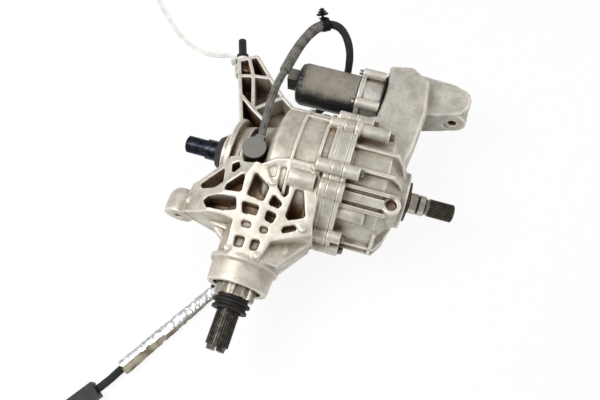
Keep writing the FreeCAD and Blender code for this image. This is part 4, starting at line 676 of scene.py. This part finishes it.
# The flap starts as a narrow hem and takes up to half of the width past the place where the wrap was opened.
for face in shape.faces:
    middle = face.calc_center_median()
    along = (middle - sleeve_start).dot(sleeve_way)
    across = (middle - in_sleeve(along, wrap_shift, 0)).dot(sleeve_side)
    hem = hem_width if along < opened_at else max(0.0005, hem_width - 0.15 * (along - opened_at))
    face.material_index = int(across > hem + 0.001 * noise.noise(middle * 80))
shape.to_mesh(foil_tube.data)
shape.free()
for face in foil_tube.data.polygons:
    face.use_smooth = False
foil, tree, shader = new_material("creased_foil")
place = add(tree, "TexCoord").outputs["Object"]
fold = add(tree, "TexNoise", {}, {"Vector": place, "Scale": 160, "Detail": 3})
crease = add(tree, "TexVoronoi", {"feature": "DISTANCE_TO_EDGE"}, {"Vector": place, "Scale": 210})
shade = add(tree, "ValToRGB", {}, {"Fac": fold.outputs["Fac"]},
            [(0.35, tone("#aeb1b3")), (0.62, tone("#dcdede"))])
bump = add(tree, "Bump", {}, {"Strength": 0.3, "Distance": 0.001, "Height": crease.outputs["Distance"]})
wire(tree, shader, base_color=shade, normal=bump)
shader.inputs["Metallic"].default_value = 0.6
shader.inputs["Roughness"].default_value = 0.36
foil_tube.data.materials.append(foil)
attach(foil_tube, "housing")
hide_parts("foil_sleeve")

flap_cloth, tree, shader = new_material("glass_cloth_flap")
place = add(tree, "TexCoord").outputs["Object"]
weft = add(tree, "TexNoise", {}, {"Vector": place, "Scale": 900, "Detail": 2})
stain = add(tree, "TexNoise", {}, {"Vector": place, "Scale": 70, "Detail": 5})
shade = add(tree, "ValToRGB", {}, {"Fac": stain.outputs["Fac"]},
            [(0.35, tone("#6e6555")), (0.65, tone("#a79e8d"))])
bump = add(tree, "Bump", {}, {"Strength": 0.3, "Distance": 0.0004, "Height": weft.outputs["Fac"]})
wire(tree, shader, base_color=shade, normal=bump)
shader.inputs["Roughness"].default_value = 0.9
foil_tube.data.materials.append(flap_cloth)

rear_weave = cloth_sleeve("woven_rear_sleeve", tone("#26262a"), tone("#0e0e10"), strands=12, pitch=0.03)
harness_run("rear_conduit_tube", rear_route + tail_route, 0.0065, rear_weave,
            ["rear_conduit", "tail_conduit"],
            hidden=(-0.352, -0.196))


# The cable tie is natural nylon 6.6, milky white and a little see-through, pulled through its own head by
# hand.
nylon, tree, shader = new_material("natural_nylon")
place = add(tree, "TexCoord").outputs["Object"]
cloud = add(tree, "TexNoise", {}, {"Vector": place, "Scale": 60, "Detail": 3})
milk = add(tree, "ValToRGB", {}, {"Fac": cloud.outputs["Fac"]},
           [(0.3, tone("#d4d4ce")), (0.7, tone("#ecece8"))])
wire(tree, shader, base_color=milk)
shader.inputs["Roughness"].default_value = 0.35
shader.inputs["Subsurface Weight"].default_value = 0.25
shader.inputs["Subsurface Radius"].default_value = (0.004, 0.004, 0.004)
dress(nylon, "cable_tie")


# The table: a plain white sheet of board that the camera sees as white, and that keeps a soft shadow of the
# unit.
board = bmesh.new()
bmesh.ops.create_grid(board, x_segments=1, y_segments=1, size=4)
mesh = bpy.data.meshes.new("table_board")
board.to_mesh(mesh)
board.free()
table = bpy.data.objects.new("table_board", mesh)
bpy.context.scene.collection.objects.link(table)
table.location.z = cad_box[0][2] - 0.0005
paint, tree, shader = new_material("white_board")
path = add(tree, "LightPath").outputs
seen = add(tree, "Math", {"operation": "MAXIMUM"}, {0: path["Is Camera Ray"], 1: path["Is Glossy Ray"]})
clear = add(tree, "Math", {"operation": "MAXIMUM"}, {0: seen.outputs[0], 1: path["Is Transmission Ray"]})
share = add(tree, "Math", {"operation": "MULTIPLY"}, {0: clear.outputs[0], 1: 0.9})
glow = add(tree, "Emission", {}, {"Color": tone("#ffffff"), "Strength": 1})
shader.inputs["Base Color"].default_value = tone("#f4f4f4")
shader.inputs["Roughness"].default_value = 0.9
both = add(tree, "MixShader", {}, {0: share.outputs[0], 1: shader.outputs[0], 2: glow.outputs[0]})
tree.links.new(both.outputs[0], tree.nodes["Material Output"].inputs["Surface"])
mesh.materials.append(paint)

# The studio: an even white room, a large soft lamp over the left shoulder and a weaker one from the right.
world = bpy.data.worlds.new("white_room")
world.use_nodes = True
bpy.context.scene.world = world
tree = world.node_tree
path = add(tree, "LightPath").outputs
seen = add(tree, "Math", {"operation": "MAXIMUM"}, {0: path["Is Camera Ray"], 1: path["Is Transmission Ray"]})
level = add(tree, "MapRange", {}, {"Value": seen.outputs[0], "To Min": 0.5, "To Max": 1.0})
tree.nodes["Background"].inputs["Color"].default_value = tone("#ffffff")
tree.links.new(level.outputs[0], tree.nodes["Background"].inputs["Strength"])


def lamp(name, place, size, power):
    """A square soft lamp that looks at the middle of the unit."""
    light = bpy.data.lights.new(name, "AREA")
    light.size = size
    light.energy = power
    thing = bpy.data.objects.new(name, light)
    thing.location = place
    thing.rotation_euler = (Vector((0, 0, 0.1)) - Vector(place)).to_track_quat("-Z", "Y").to_euler()
    bpy.context.scene.collection.objects.link(thing)


lamp("key_lamp", (-0.9, -0.5, 1.7), 0.8, 26)
lamp("fill_lamp", (1.3, 0.9, 1.3), 1.2, 9)

# The camera stands where the photograph's did: 67 degrees above the table, turned 16.5 degrees to the right.
lens = bpy.data.cameras.new("camera")
lens.lens = 30.9
lens.sensor_width = 36
lens.clip_start = 0.05
camera = bpy.data.objects.new("camera", lens)
camera.location = (0.1379, -0.3444, 0.8504)
camera.rotation_euler = (math.radians(90 - 67), 0, math.radians(16.5))
bpy.context.scene.collection.objects.link(camera)
bpy.context.scene.camera = camera
bpy.context.scene.view_settings.view_transform = "Standard"
